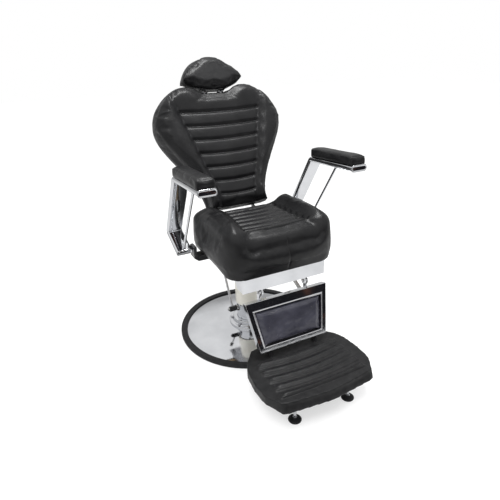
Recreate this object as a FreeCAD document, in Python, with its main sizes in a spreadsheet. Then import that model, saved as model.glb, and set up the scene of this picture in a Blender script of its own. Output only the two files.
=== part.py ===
import FreeCAD, Part
import math
import os
import re
import Sketcher

# Hydraulic barber chair, modelled in millimetres.
# Origin: centre of the round base on the floor. +Z is up and the sitter faces -Y,
# so -X is the sitter's right-hand side.

SIZES = (
    # round base
    ("base_radius", 350), ("rim_width", 30), ("rim_height", 20), ("rim_round", 7),
    ("plate_thick", 8), ("cover_thick", 2.5), ("dome_rise", 26),
    # pump flange on the base
    ("flange_radius", 100), ("flange_step", 35), ("collar_radius", 80), ("collar_step", 58),
    ("bolt_circle", 89), ("bolt_radius", 5), ("bolt_head", 7), ("bolt_head_high", 6), ("flange_bolt_count", 6),
    # pump barrel and ram
    ("running_gap", 0.05), ("washer_thick", 3), ("barrel_radius", 59), ("barrel_bore", 42),
    ("barrel_floor", 46), ("barrel_high", 319), ("gland_high", 16), ("ram_radius", 24), ("ram_low", 80),
    ("ram_top", 405), ("piston_high", 25), ("piston_low", 84),
    ("shroud_gap", 2), ("shroud_wall", 4), ("shroud_low", 150),
    # pump lever
    ("lever_high", 122), ("boss_radius", 17), ("boss_out", 70), ("hub_radius", 13.5), ("hub_wide", 34),
    ("lever_pin_radius", 5), ("side_gap", 1), ("lever_radius", 5.5), ("lever_length", 300), ("lever_lean", 28.6),
    ("grip_radius", 11), ("grip_length", 95), ("nut_radius", 9), ("nut_thick", 6),
    # seat underframe
    ("mount_half_wide", 124), ("mount_half_deep", 110), ("mount_thick", 12),
    ("rail_inner", 95), ("rail_wide", 30), ("rail_high", 66), ("rail_wall", 3), ("rail_front", -350),
    ("rail_back", 40), ("rail_bolt_y", 85),
    # seat
    ("board_inset", 28), ("board_thick", 12), ("board_front", -344), ("seat_half_wide", 250),
    ("seat_front", -372), ("seat_back", 37), ("seat_high", 170), ("seat_corner", 70), ("seat_back_corner", 25),
    ("seat_edge", 38), ("seat_back_gap", 2),
    # chromed apron under the seat
    ("apron_half_wide", 192), ("apron_front", -363), ("apron_deep", 102), ("apron_low_deep", 58),
    ("apron_high", 62), ("apron_thick", 2),
    # arms
    ("arm_side_gap", 32), ("tube_wide", 73), ("tube_thick", 22), ("tube_wall", 2), ("arm_front_y", -383),
    ("arm_rise", 379.7), ("top_arm_length", 298.5), ("top_slope", 3.4), ("strut_length", 340.7),
    ("strut_drop", 57.7), ("low_arm_length", 143.4), ("low_drop", 21.9), ("cap_thick", 4), ("cap_plug", 12),
    ("cap_fit", 0.5), ("support_radius", 5.5), ("support_top_reach", 133), ("support_low_reach", 10),
    ("arm_pad_thick", 34), ("arm_pad_front", 3), ("arm_pad_length", 309), ("arm_pad_taper", 27),
    ("arm_pad_nose", 17), ("bracket_deep", 50), ("bracket_y", -35), ("bracket_wall", 14), ("bracket_drop", 28),
    ("bracket_rise", 42), ("bracket_thick", 25),
    # back rest, measured in the plane of its front face
    ("back_y", 45), ("back_drop", 15), ("back_lean", 27), ("back_low", -8), ("back_thick", 88), ("shell_thick", 8),
    ("shell_inset", 7), ("waist_half", 150), ("flare_half", 250), ("flare_up", 238), ("widest_half", 318),
    ("widest_up", 410), ("lobe_half", 168), ("lobe_up", 579), ("notch_half", 62), ("notch_up", 548),
    # recline hinge
    ("pivot_y", 90), ("pivot_rise", 153), ("pivot_radius", 8), ("ear_thick", 8), ("plate_gap", 3), ("lug_radius", 22),
    ("crank_back", 50), ("crank_down", 95), ("crank_bar_radius", 6), ("strap_up", 200), ("strap_thick", 12),
    # headrest
    ("post_x", 40), ("post_radius", 7), ("post_in", 45), ("post_low", 410), ("socket_wall", 2), ("socket_low", 400),
    ("oval_wide", 34), ("oval_deep", 24), ("oval_thick", 5), ("head_plate_up", 558), ("head_plate_thick", 4),
    ("head_plate_half", 65), ("head_half", 151), ("head_corner_up", 596), ("head_top_up", 697),
    ("head_top_half", 46), ("head_thick", 84), ("head_forward", 12), ("head_round", 26),
    # recline gas spring
    ("anchor_y", -180), ("anchor_rise", 28), ("cylinder_radius", 14), ("cylinder_start", 12), ("cylinder_end", 189),
    ("cylinder_wall", 3), ("eye_wide", 18), ("eye_radius", 14), ("rod_radius", 5), ("rod_start", 112),
    ("piston_thick", 14), ("open_eye_gap", 5), ("open_eye_wall", 6),
    # leg rest, measured in the plane of its front face
    ("leg_y", -380), ("leg_drop", 34), ("leg_lean", 17.68), ("leg_long", 217), ("leg_top_half", 191),
    ("leg_low_half", 158), ("leg_deep", 30), ("leg_top_band", 37), ("leg_side_band", 20), ("leg_low_band", 17),
    ("bead_wide", 6), ("bead_proud", 2), ("bead_deep", 14), ("panel_in", 2), ("panel_thick", 20), ("sheet_thick", 4),
    ("leg_pivot_y", -345), ("leg_pivot_drop", 17), ("leg_pin_radius", 6), ("leg_lug", 14), ("leg_ear_x", 98),
    ("link_x", 128), ("link_half_high", 10), ("link_eye", 14), ("link_low_pin", 6),
    # footrest
    ("foot_top", 148), ("foot_thick", 38), ("foot_half_wide", 245), ("foot_back", -365), ("foot_front", -712),
    ("foot_bow", 18), ("foot_back_half", 120), ("foot_front_half", 218), ("foot_wide_y", -560),
    ("foot_shoulder_half", 215), ("foot_shoulder_y", -432), ("rib_count", 5), ("rib_wide", 22), ("rib_high", 5),
    ("rib_pitch", 46), ("rib_half", 190), ("rib_first", -470), ("tray_thick", 4), ("tray_inset", 14),
    ("foot_bracket_x", 110), ("foot_bracket_thick", 10),
    ("glide_x", 125), ("glide_y", -656), ("glide_radius", 27), ("glide_high", 9), ("stem_radius", 6),
)

# Places that follow from the sizes, so that what is carried stays on what carries it.
TIED = {
    "mount_top": "(ram_top + mount_thick)",
    "board_low": "(mount_top + rail_high)",
    "seat_low": "(board_low + board_thick)",
    "board_half_wide": "(seat_half_wide - board_inset)",
    "arm_face": "(seat_half_wide + arm_side_gap)",
    "arm_x": "(arm_face + tube_wide / 2)",
    "arm_front_z": "(board_low + arm_rise)",
    "pivot_z": "(mount_top + pivot_rise)",
    "back_z": "(seat_low + seat_high - back_drop)",
    "anchor_z": "(mount_top + anchor_rise)",
    "leg_z": "(mount_top - leg_drop)",
    "leg_pivot_z": "(mount_top - leg_pivot_drop)",
}

RIGHT_AND_LEFT = (("right", -1), ("left", 1))

doc = FreeCAD.newDocument("BarberChair")
sheet = doc.addObject("Spreadsheet::Sheet", "Sizes")
for row, (alias, size) in enumerate(SIZES, start=1):
    sheet.set(f"A{row}", str(size))
    sheet.setAlias(f"A{row}", alias)
doc.recompute()

ALIASES = {alias for alias, size in SIZES}
nodes = {}


# ---------------------------------------------------------------- expressions

def bound(text):
    """Write a formula of size names as an expression that reads the sheet."""
    def read(word):
        if word.group() in TIED:
            return bound(TIED[word.group()])
        return f"Sizes.{word.group()}" if word.group() in ALIASES else word.group()
    return re.sub(r"[a-z_]+", read, text)


def size_of(text):
    """The present value of a formula of size names."""
    result = sheet.evalExpression(bound(text))
    return float(getattr(result, "Value", result))


def leaning(origin_y, origin_z, lean, up, behind):
    """World (y, z) formulas of a point up and behind along a plane that leans back."""
    y = f"{origin_y} + ({up}) * sin({lean}) + ({behind}) * cos({lean})"
    z = f"{origin_z} + ({up}) * cos({lean}) - ({behind}) * sin({lean})"
    return y, z


def on_back(up, behind):
    return leaning("back_y", "back_z", "back_lean", up, behind)


def on_leg(up, behind):
    return leaning("leg_y", "leg_z", "leg_lean", up, behind)


# ---------------------------------------------------------------- placing and naming

def place(item, at=("0", "0", "0"), turn_axis=None, turn="0"):
    """Bind an object's place, and its turn about one axis, to the sheet."""
    if turn_axis:
        item.Placement = FreeCAD.Placement(FreeCAD.Vector(), FreeCAD.Rotation(turn_axis, size_of(turn)))
        item.setExpression("Placement.Rotation.Angle", bound(turn))
    for letter, formula in zip("xyz", at):
        if formula != "0":
            item.setExpression(f"Placement.Base.{letter}", bound(formula))
    return item


LEAN_BACK = FreeCAD.Vector(-1, 0, 0)
LEAN_FORWARD = FreeCAD.Vector(1, 0, 0)
ALONG_X = FreeCAD.Vector(0, 1, 0)


def keep(name, item):
    """Name a finished sub-part: its label is also its file name."""
    item.Label = name
    nodes[name] = item
    return item


# ---------------------------------------------------------------- sketches

def new_sketch(body, role, name):
    sketch = body.newObject("Sketcher::SketchObject", name)
    origin_plane = [plane for plane in body.Origin.OriginFeatures if plane.Role == role][0]
    sketch.AttachmentSupport = [(origin_plane, "")]
    sketch.MapMode = "FlatFace"
    return sketch


def hold_point(sketch, geometry, end, formulas):
    """Hold one point of a sketch at an (x, y) pair of formulas."""
    for kind, axis, formula in (("DistanceX", -2, formulas[0]), ("DistanceY", -1, formulas[1])):
        if formula == "0":
            sketch.addConstraint(Sketcher.Constraint("PointOnObject", geometry, end, axis))
        else:
            offset = Sketcher.Constraint(kind, -1, 1, geometry, end, size_of(formula))
            index = sketch.addConstraint(offset)
            sketch.renameConstraint(index, f"{kind}_{geometry}_{end}")
            sketch.setExpression(f"Constraints.{kind}_{geometry}_{end}", bound(formula))


def draw_outline(sketch, points):
    """Draw a closed outline through (x, y) pairs of formulas."""
    first = sketch.GeometryCount
    values = [(size_of(x), size_of(y)) for x, y in points]
    count = len(points)
    for index in range(count):
        start = FreeCAD.Vector(*values[index], 0)
        end = FreeCAD.Vector(*values[(index + 1) % count], 0)
        sketch.addGeometry(Part.LineSegment(start, end))
    for index in range(count):
        following = first + (index + 1) % count
        sketch.addConstraint(Sketcher.Constraint("Coincident", first + index, 2, following, 1))
    for index, pair in enumerate(points):
        hold_point(sketch, first + index, 1, pair)


def draw_circle(sketch, radius, centre=("0", "0")):
    """Draw a circle whose radius and centre are formulas."""
    middle = FreeCAD.Vector(size_of(centre[0]), size_of(centre[1]), 0)
    circle = Part.Circle(middle, FreeCAD.Vector(0, 0, 1), size_of(radius))
    geometry = sketch.addGeometry(circle)
    index = sketch.addConstraint(Sketcher.Constraint("Radius", geometry, size_of(radius)))
    sketch.renameConstraint(index, f"radius_{geometry}")
    sketch.setExpression(f"Constraints.radius_{geometry}", bound(radius))
    hold_point(sketch, geometry, 3, centre)


def draw_flat_oval(sketch, wide, thick):
    """Draw a flat oval: two straight sides joined by half circles, centred on the origin."""
    radius = size_of(f"({thick}) / 2")
    span = size_of(f"(({wide}) - ({thick})) / 2")
    normal = FreeCAD.Vector(0, 0, 1)
    right = Part.Circle(FreeCAD.Vector(span, 0, 0), normal, radius)
    left = Part.Circle(FreeCAD.Vector(-span, 0, 0), normal, radius)
    sketch.addGeometry(Part.LineSegment(FreeCAD.Vector(-span, radius, 0), FreeCAD.Vector(span, radius, 0)))
    sketch.addGeometry(Part.ArcOfCircle(right, -math.pi / 2, math.pi / 2))
    sketch.addGeometry(Part.LineSegment(FreeCAD.Vector(span, -radius, 0), FreeCAD.Vector(-span, -radius, 0)))
    sketch.addGeometry(Part.ArcOfCircle(left, math.pi / 2, 3 * math.pi / 2))
    for line, line_end, arc, arc_end in ((0, 2, 1, 2), (1, 1, 2, 1), (2, 2, 3, 2), (3, 1, 0, 1)):
        sketch.addConstraint(Sketcher.Constraint("Tangent", line, line_end, arc, arc_end))
    for arc in (1, 3):
        sketch.addConstraint(Sketcher.Constraint("PointOnObject", arc, 3, -1))
    index = sketch.addConstraint(Sketcher.Constraint("Radius", 1, radius))
    sketch.renameConstraint(index, "end_radius")
    sketch.setExpression("Constraints.end_radius", bound(f"({thick}) / 2"))
    for arc, sign, name in ((1, 1, "span_right"), (3, -1, "span_left")):
        index = sketch.addConstraint(Sketcher.Constraint("DistanceX", -1, 1, arc, 3, sign * span))
        sketch.renameConstraint(index, name)
        sketch.setExpression(f"Constraints.{name}", bound(f"{sign} * (({wide}) - ({thick})) / 2"))


# ---------------------------------------------------------------- solids

def new_body(name):
    return doc.addObject("PartDesign::Body", f"{name}_body")


def pad(body, sketch, thickness, side="one"):
    """Pad a sketch: one side, reversed, or both sides alike."""
    feature = body.newObject("PartDesign::Pad", f"{sketch.Name}_pad")
    feature.Profile = sketch
    feature.setExpression("Length", bound(thickness))
    if side == "both":
        feature.SideType = "Symmetric"
    feature.Reversed = side == "reversed"
    body.Tip = feature
    return feature


def plate(name, role, points, thickness, side="one", holes=(), opening=None):
    """A body of even thickness: an outline with round holes and, where given, one opening."""
    body = new_body(name)
    sketch = new_sketch(body, role, f"{name}_outline")
    draw_outline(sketch, points)
    if opening:
        draw_outline(sketch, opening)
    for radius, centre in holes:
        draw_circle(sketch, radius, centre)
    pad(body, sketch, thickness, side)
    return body


def turned(name, points):
    """A body turned about the Z axis from (radius, height) pairs."""
    body = new_body(name)
    sketch = new_sketch(body, "XZ_Plane", f"{name}_profile")
    draw_outline(sketch, points)
    feature = body.newObject("PartDesign::Revolution", f"{name}_turned")
    feature.Profile = sketch
    feature.ReferenceAxis = (sketch, ["V_Axis"])
    feature.Angle = 360
    body.Tip = feature
    return body


def round_bar(name, radius, length):
    """A plain round bar that stands on its own origin."""
    bar = doc.addObject("Part::Cylinder", f"{name}_bar")
    bar.setExpression("Radius", bound(radius))
    bar.setExpression("Height", bound(length))
    return bar


def cross_bar(name, radius, length, start_x, y, z):
    """A round bar along +X from start_x."""
    return place(round_bar(name, radius, length), (start_x, y, z), ALONG_X, "90")


def cut(name, base, tool):
    feature = doc.addObject("Part::Cut", f"{name}_cut")
    feature.Base = base
    feature.Tool = tool
    return feature


def fuse(name, *items):
    feature = doc.addObject("Part::MultiFuse", f"{name}_fuse")
    feature.Shapes = list(items)
    return feature


def group(name, *items):
    """Loose solids that share one name, such as a set of bolts."""
    feature = doc.addObject("Part::Compound", f"{name}_group")
    feature.Links = list(items)
    return feature


def tube(name, inner, outer, length, place_it):
    """A round tube; place_it puts each of its two bars in the same place."""
    wall = place_it(round_bar(f"{name}_wall", outer, length))
    bore = place_it(round_bar(f"{name}_bore", inner, length))
    return cut(name, wall, bore)


def hex_bolt(name, x, y, low, shank_top, head_low):
    """A hexagon bolt: a head with its lower face at head_low, and a shank from low to shank_top."""
    head = doc.addObject("Part::Prism", f"{name}_head")
    head.Polygon = 6
    head.setExpression("Circumradius", bound("bolt_head"))
    head.setExpression("Height", bound("bolt_head_high"))
    place(head, (x, y, head_low))
    shank = place(round_bar(f"{name}_shank", "bolt_radius", f"({shank_top}) - ({low})"), (x, y, low))
    return fuse(name, head, shank)


def round_edges(body, name, radius, chosen):
    """Fillet the edges of a body's tip that the test picks."""
    doc.recompute()
    tip = body.Tip
    names = [f"Edge{index}" for index, edge in enumerate(tip.Shape.Edges, start=1) if chosen(edge)]
    feature = body.newObject("PartDesign::Fillet", name)
    feature.Base = (tip, names)
    feature.setExpression("Radius", bound(radius))
    body.Tip = feature


def is_upright(edge):
    first, last = edge.Vertexes[0].Point, edge.Vertexes[-1].Point
    return abs(first.z - last.z) > 1 and math.hypot(first.x - last.x, first.y - last.y) < 0.01


def is_along_y(edge):
    first, last = edge.Vertexes[0].Point, edge.Vertexes[-1].Point
    return abs(first.y - last.y) > 1 and math.hypot(first.x - last.x, first.z - last.z) < 0.01


# ---------------------------------------------------------------- round base

PLATE_TOP = "plate_thick"
RIM_INNER = "(base_radius - rim_width)"
COVER_EDGE = f"({RIM_INNER} - 1)"


def build_base():
    rim = turned("base_rim", (
        (RIM_INNER, "0"), ("base_radius - rim_round", "0"), ("base_radius", "rim_round"),
        ("base_radius", "rim_height - rim_round"), ("base_radius - rim_round", "rim_height"),
        (f"{RIM_INNER} + rim_round", "rim_height"), (RIM_INNER, "rim_height - rim_round / 2")))
    keep("base_rim", rim)
    cover_top = f"{PLATE_TOP} + dome_rise"
    middle = "(base_radius / 2 + flange_radius / 3)"
    keep("base_cover", turned("base_cover", (
        (COVER_EDGE, PLATE_TOP), (COVER_EDGE, f"{PLATE_TOP} + cover_thick"),
        (middle, f"{PLATE_TOP} + 0.62 * dome_rise"), ("flange_radius", cover_top),
        ("flange_radius", f"{cover_top} - cover_thick"), (middle, f"{PLATE_TOP} + 0.62 * dome_rise - cover_thick"),
        (f"{COVER_EDGE} - 9", PLATE_TOP))))
    blank_plate = turned("base_plate", (
        ("0", "0"), (RIM_INNER, "0"), (RIM_INNER, PLATE_TOP), ("0", PLATE_TOP)))
    flange_top = f"({PLATE_TOP} + flange_step)"
    collar_top = f"({PLATE_TOP} + collar_step)"
    bore = "barrel_radius + running_gap"
    blank_flange = turned("pump_flange", (
        (bore, PLATE_TOP), ("flange_radius", PLATE_TOP), ("flange_radius", f"{flange_top} - 3"),
        ("flange_radius - 3", flange_top), ("collar_radius", flange_top), ("collar_radius", f"{collar_top} - 4"),
        ("collar_radius - 4", collar_top), (bore, collar_top)))
    bolts = []
    for index in range(int(size_of("flange_bolt_count"))):
        angle = f"({index} * 360 / flange_bolt_count + 30)"
        bolts.append(hex_bolt(f"flange_bolt_{index}", f"bolt_circle * cos({angle})", f"bolt_circle * sin({angle})",
                              "plate_thick / 4", flange_top, flange_top))
    bolt_set = keep("flange_bolts", group("flange_bolts", *bolts))
    keep("base_plate", cut("base_plate", blank_plate, bolt_set))
    keep("pump_flange", cut("pump_flange", blank_flange, bolt_set))
    keep("thrust_washer", turned("thrust_washer", (
        ("ram_radius", PLATE_TOP), ("barrel_radius - 2", PLATE_TOP),
        ("barrel_radius - 2", f"{PLATE_TOP} + washer_thick"), ("ram_radius", f"{PLATE_TOP} + washer_thick"))))


# ---------------------------------------------------------------- pump and its lever

BARREL_LOW = f"({PLATE_TOP} + washer_thick)"
BARREL_TOP = f"({BARREL_LOW} + barrel_high)"


def build_pump():
    keep("pump_barrel", turned("pump_barrel", (
        ("0", BARREL_LOW), ("barrel_radius", BARREL_LOW), ("barrel_radius", BARREL_TOP),
        ("barrel_bore", BARREL_TOP), ("barrel_bore", f"{BARREL_LOW} + barrel_floor"),
        ("0", f"{BARREL_LOW} + barrel_floor"))))
    gland_bore = "ram_radius + running_gap"
    keep("gland_ring", turned("gland_ring", (
        (gland_bore, BARREL_TOP), ("barrel_radius - 2", BARREL_TOP), ("barrel_radius - 2", f"{BARREL_TOP} + gland_high - 4"),
        ("barrel_radius - 6", f"{BARREL_TOP} + gland_high"), (gland_bore, f"{BARREL_TOP} + gland_high"))))

    boss_bar = cross_bar("lever_boss", "boss_radius", "boss_out", "-boss_out", "0", "lever_high")
    barrel_space = place(round_bar("barrel_space", "barrel_radius", BARREL_TOP))
    keep("lever_boss", cut("lever_boss", boss_bar, barrel_space))
    hub_inner_x = "(-boss_out - side_gap)"
    hub_outer_x = f"({hub_inner_x} - hub_wide)"
    nut_x = f"({hub_outer_x} - side_gap - nut_thick)"
    pin = cross_bar("lever_pin", "lever_pin_radius", f"-boss_out - {nut_x} + 2", f"{nut_x} - 2", "0", "lever_high")
    keep("lever_pin", pin)
    nut = doc.addObject("Part::Prism", "lever_nut_prism")
    nut.Polygon = 6
    nut.setExpression("Circumradius", bound("nut_radius"))
    nut.setExpression("Height", bound("nut_thick"))
    place(nut, (nut_x, "0", "lever_high"), ALONG_X, "90")
    keep("lever_nut", cut("lever_nut", nut, pin))
    keep("lever_hub", tube("lever_hub", "lever_pin_radius + running_gap", "hub_radius", "hub_wide",
                           lambda bar: place(bar, (hub_outer_x, "0", "lever_high"), ALONG_X, "90")))
    middle_x = f"({hub_outer_x} + hub_wide / 2)"
    rod = place(round_bar("pump_lever", "lever_radius", "lever_length"),
                (middle_x, "0", "lever_high"), LEAN_BACK, "lever_lean")
    hub_space = cross_bar("hub_space", "hub_radius", "hub_wide", hub_outer_x, "0", "lever_high")
    keep("pump_lever", cut("pump_lever", rod, hub_space))
    grip_start = "(lever_length - grip_length)"
    grip_at = (middle_x, f"{grip_start} * sin(lever_lean)", f"lever_high + {grip_start} * cos(lever_lean)")
    grip_bar = place(round_bar("lever_grip", "grip_radius", "grip_length + 4"), grip_at, LEAN_BACK, "lever_lean")
    keep("lever_grip", cut("lever_grip", grip_bar, nodes["pump_lever"]))


# ---------------------------------------------------------------- ram and underframe

def build_underframe():
    keep("ram", place(round_bar("ram", "ram_radius", "ram_top - ram_low"), ("0", "0", "ram_low")))
    keep("ram_piston", turned("ram_piston", (
        ("ram_radius", "piston_low"), ("barrel_bore - running_gap", "piston_low"),
        ("barrel_bore - running_gap", "piston_low + piston_high"), ("ram_radius", "piston_low + piston_high"))))
    shroud_inner = "barrel_radius + shroud_gap"
    keep("column_shroud", turned("column_shroud", (
        (shroud_inner, "shroud_low"), (f"{shroud_inner} + shroud_wall", "shroud_low"),
        (f"{shroud_inner} + shroud_wall", "ram_top"), (shroud_inner, "ram_top"))))
    bolts = []
    for side, sign in RIGHT_AND_LEFT:
        for end, end_sign in (("front", -1), ("rear", 1)):
            bolts.append(hex_bolt(f"rail_bolt_{side}_{end}", f"{sign} * (rail_inner + rail_wide / 2)",
                                  f"{end_sign} * rail_bolt_y", "ram_top", "mount_top + rail_wall + 6",
                                  "ram_top - bolt_head_high"))
    bolt_set = keep("rail_bolts", group("rail_bolts", *bolts))
    blank = plate("mount_plate", "XY_Plane", (
        ("-mount_half_wide", "-mount_half_deep"), ("mount_half_wide", "-mount_half_deep"),
        ("mount_half_wide", "mount_half_deep"), ("-mount_half_wide", "mount_half_deep")), "mount_thick")
    place(blank, ("0", "0", "ram_top"))
    keep("mount_plate", cut("mount_plate", blank, bolt_set))
    rails = []
    for side, sign in RIGHT_AND_LEFT:
        name = f"seat_rail_{side}"
        low, high, half = "0", "rail_high", "rail_wide / 2"
        rail = plate(name, "XZ_Plane", (
            (f"-{half}", low), (half, low), (half, high), (f"-{half}", high)), "rail_back - rail_front", "reversed",
            opening=((f"-{half} + rail_wall", "rail_wall"), (f"{half} - rail_wall", "rail_wall"),
                     (f"{half} - rail_wall", "rail_high - rail_wall"), (f"-{half} + rail_wall", "rail_high - rail_wall")))
        place(rail, (f"{sign} * (rail_inner + rail_wide / 2)", "rail_front", "mount_top"))
        rails.append(cut(name, rail, bolt_set))
    keep("seat_rails", group("seat_rails", *rails))
    keep("spring_anchor", cross_bar("spring_anchor", "crank_bar_radius", "2 * rail_inner", "-rail_inner",
                                    "anchor_y", "anchor_z"))


def build_seat():
    board = plate("seat_board", "XY_Plane", (
        ("-board_half_wide + 40", "board_front"), ("board_half_wide - 40", "board_front"),
        ("board_half_wide", "board_front + 40"), ("board_half_wide", "seat_back - seat_back_gap"),
        ("-board_half_wide", "seat_back - seat_back_gap"), ("-board_half_wide", "board_front + 40")), "board_thick")
    keep("seat_board", place(board, ("0", "0", "board_low")))
    cushion = plate("seat_cushion", "XY_Plane", (
        ("-seat_half_wide", "seat_front"), ("seat_half_wide", "seat_front"),
        ("seat_half_wide", "seat_back"), ("-seat_half_wide", "seat_back")), "seat_high")
    front = size_of("seat_front")
    round_edges(cushion, "seat_front_corners", "seat_corner",
                lambda edge: is_upright(edge) and abs(edge.Vertexes[0].Point.y - front) < 1)
    round_edges(cushion, "seat_back_corners", "seat_back_corner",
                lambda edge: is_upright(edge) and abs(edge.Vertexes[0].Point.y - size_of("seat_back")) < 1)
    round_edges(cushion, "seat_top_edge", "seat_edge",
                lambda edge: min(vertex.Point.z for vertex in edge.Vertexes) > size_of("seat_high") - 1)
    keep("seat_cushion", place(cushion, ("0", "0", "seat_low")))

    inner = "apron_half_wide - apron_thick"
    apron = plate("apron", "XY_Plane", (
        ("-apron_half_wide", "0"), ("apron_half_wide", "0"), ("apron_half_wide", "apron_deep"),
        (inner, "apron_deep"), (inner, "apron_thick"), (f"-({inner})", "apron_thick"),
        (f"-({inner})", "apron_deep"), ("-apron_half_wide", "apron_deep")), "apron_high")
    slope = new_sketch(apron, "YZ_Plane", "apron_slope")
    draw_outline(slope, (("apron_low_deep", "0"), ("apron_deep + 5", "0"), ("apron_deep + 5", "apron_high"),
                         ("apron_deep", "apron_high")))
    pocket = apron.newObject("PartDesign::Pocket", "apron_slope_cut")
    pocket.Profile = slope
    pocket.SideType = "Symmetric"
    pocket.setExpression("Length", bound("2 * apron_half_wide + 10"))
    apron.Tip = pocket
    keep("apron", place(apron, ("0", "apron_front", "board_low - apron_high")))


# ---------------------------------------------------------------- arms

TUBE_HALF = "(tube_thick / 2)"
ARM_LOW_Y = ("(arm_front_y + top_arm_length * cos(top_slope) + strut_length * cos(strut_drop)"
             " - low_arm_length * cos(low_drop))")
ARM_LOW_Z = ("(arm_front_z - top_arm_length * sin(top_slope) - strut_length * sin(strut_drop)"
             " - low_arm_length * sin(low_drop))")


def arm_sweep(name, wide, thick, at):
    """A flat-oval section swept along the arm: top arm, strut down to the elbow, and low arm."""
    body = new_body(name)
    spine = new_sketch(body, "YZ_Plane", f"{name}_line")
    drop = "(strut_drop - top_slope)"
    rise = "(low_drop + top_slope)"
    elbow = (f"top_arm_length + strut_length * cos{drop}", f"-strut_length * sin{drop}")
    stops = (("0", "0"), ("top_arm_length", "0"), elbow,
             (f"{elbow[0]} - low_arm_length * cos{rise}", f"{elbow[1]} - low_arm_length * sin{rise}"))
    for start, end in zip(stops, stops[1:]):
        line = Part.LineSegment(FreeCAD.Vector(size_of(start[0]), size_of(start[1]), 0),
                                FreeCAD.Vector(size_of(end[0]), size_of(end[1]), 0))
        spine.addGeometry(line)
    for index in (0, 1):
        spine.addConstraint(Sketcher.Constraint("Coincident", index, 2, index + 1, 1))
    for index, start in enumerate(stops[:3]):
        hold_point(spine, index, 1, start)
    hold_point(spine, 2, 2, stops[3])
    section = new_sketch(body, "XZ_Plane", f"{name}_section")
    draw_flat_oval(section, wide, thick)
    sweep = body.newObject("PartDesign::AdditivePipe", f"{name}_sweep")
    sweep.Profile = section
    sweep.Spine = (spine, ["Edge1", "Edge2", "Edge3"])
    sweep.Transition = "Right corner"
    body.Tip = sweep
    return place(body, at, LEAN_BACK, "top_slope")


def end_cap(name, at, axis, turn):
    """A flat-oval end cap with a plug that fits in the tube."""
    body = new_body(name)
    face = new_sketch(body, "XZ_Plane", f"{name}_face")
    draw_flat_oval(face, "tube_wide", "tube_thick")
    pad(body, face, "cap_thick")
    plug = new_sketch(body, "XZ_Plane", f"{name}_plug")
    shrink = "2 * (tube_wall + cap_fit)"
    draw_flat_oval(plug, f"tube_wide - {shrink}", f"tube_thick - {shrink}")
    pad(body, plug, "cap_plug", "reversed")
    return place(body, at, axis, turn)


def build_arm(side, sign):
    """One arm; its small pieces are handed back to be grouped with the other arm's."""
    x = f"{sign} * arm_x"
    front = (x, "arm_front_y", "arm_front_z")
    outer = arm_sweep(f"arm_outer_{side}", "tube_wide", "tube_thick", front)
    inner = arm_sweep(f"arm_inner_{side}", "tube_wide - 2 * tube_wall", "tube_thick - 2 * tube_wall", front)
    keep(f"arm_frame_{side}", cut(f"arm_frame_{side}", outer, inner))
    caps = [end_cap(f"arm_front_cap_{side}", front, LEAN_BACK, "top_slope"),
            end_cap(f"arm_low_cap_{side}", (x, ARM_LOW_Y, ARM_LOW_Z), LEAN_FORWARD, "low_drop")]

    pad_outline = (
        ("-tube_wide / 2", "arm_pad_front"), ("tube_wide / 2", "arm_pad_front"),
        ("tube_wide / 2", "arm_pad_front + arm_pad_length - arm_pad_taper"),
        ("arm_pad_nose", "arm_pad_front + arm_pad_length"), ("-arm_pad_nose", "arm_pad_front + arm_pad_length"),
        ("-tube_wide / 2", "arm_pad_front + arm_pad_length - arm_pad_taper"))
    arm_pad = plate(f"arm_pad_{side}", "XY_Plane", pad_outline, "arm_pad_thick")
    seat_of_pad = (x, f"arm_front_y + {TUBE_HALF} * sin(top_slope)", f"arm_front_z + {TUBE_HALF} * cos(top_slope)")
    keep(f"arm_pad_{side}", place(arm_pad, seat_of_pad, LEAN_BACK, "top_slope"))

    top_y = "(arm_front_y + support_top_reach * cos(top_slope))"
    top_z = "(arm_front_z - support_top_reach * sin(top_slope))"
    low_y = f"({ARM_LOW_Y} + support_low_reach * cos(low_drop))"
    low_z = f"({ARM_LOW_Z} + support_low_reach * sin(low_drop))"
    length = f"sqrt(({top_y} - {low_y})^2 + ({top_z} - {low_z})^2)"
    rod = place(round_bar(f"support_rod_{side}", "support_radius", length), (x, low_y, low_z),
                LEAN_FORWARD, f"atan(({low_y} - {top_y}) / ({top_z} - {low_z}))")
    support = cut(f"support_rod_{side}", rod, outer)

    rail_face = "rail_inner + rail_wide"
    outline = (
        (rail_face, "-bracket_drop"), ("arm_face - 20", "-bracket_drop"), ("arm_face", "-bracket_drop + 16"),
        ("arm_face", "bracket_rise"), ("arm_face - bracket_wall", "bracket_rise"),
        ("arm_face - bracket_wall", "bracket_thick - bracket_drop"), (rail_face, "bracket_thick - bracket_drop"))
    outline = tuple((f"{sign} * ({across})", up) for across, up in outline)
    bracket = plate(f"arm_bracket_{side}", "XZ_Plane", outline, "bracket_deep", "both")
    place(bracket, ("0", "bracket_y", "board_low"))
    bolt = doc.addObject("Part::Prism", f"arm_bolt_{side}")
    bolt.Polygon = 6
    bolt.setExpression("Circumradius", bound("nut_radius"))
    bolt.setExpression("Height", bound("nut_thick"))
    bolt_x = "arm_face - bracket_wall - nut_thick" if sign > 0 else "-arm_face + bracket_wall"
    place(bolt, (bolt_x, "bracket_y", "board_low + bracket_rise / 2 + 4"), ALONG_X, "90")
    return {"arm_caps": caps, "support_rods": [support], "arm_brackets": [bracket], "arm_bolts": [bolt]}


def build_arms():
    sides = [build_arm(side, sign) for side, sign in RIGHT_AND_LEFT]
    for name in sides[0]:
        keep(name, group(name, *[piece for side in sides for piece in side[name]]))


# ---------------------------------------------------------------- recline hinge

CRANK_Y = "(pivot_y + crank_back)"
CRANK_Z = "(pivot_z - crank_down)"
PLATE_IN = "(rail_inner + plate_gap)"
PLATE_OUT = f"({PLATE_IN} + ear_thick)"


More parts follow.
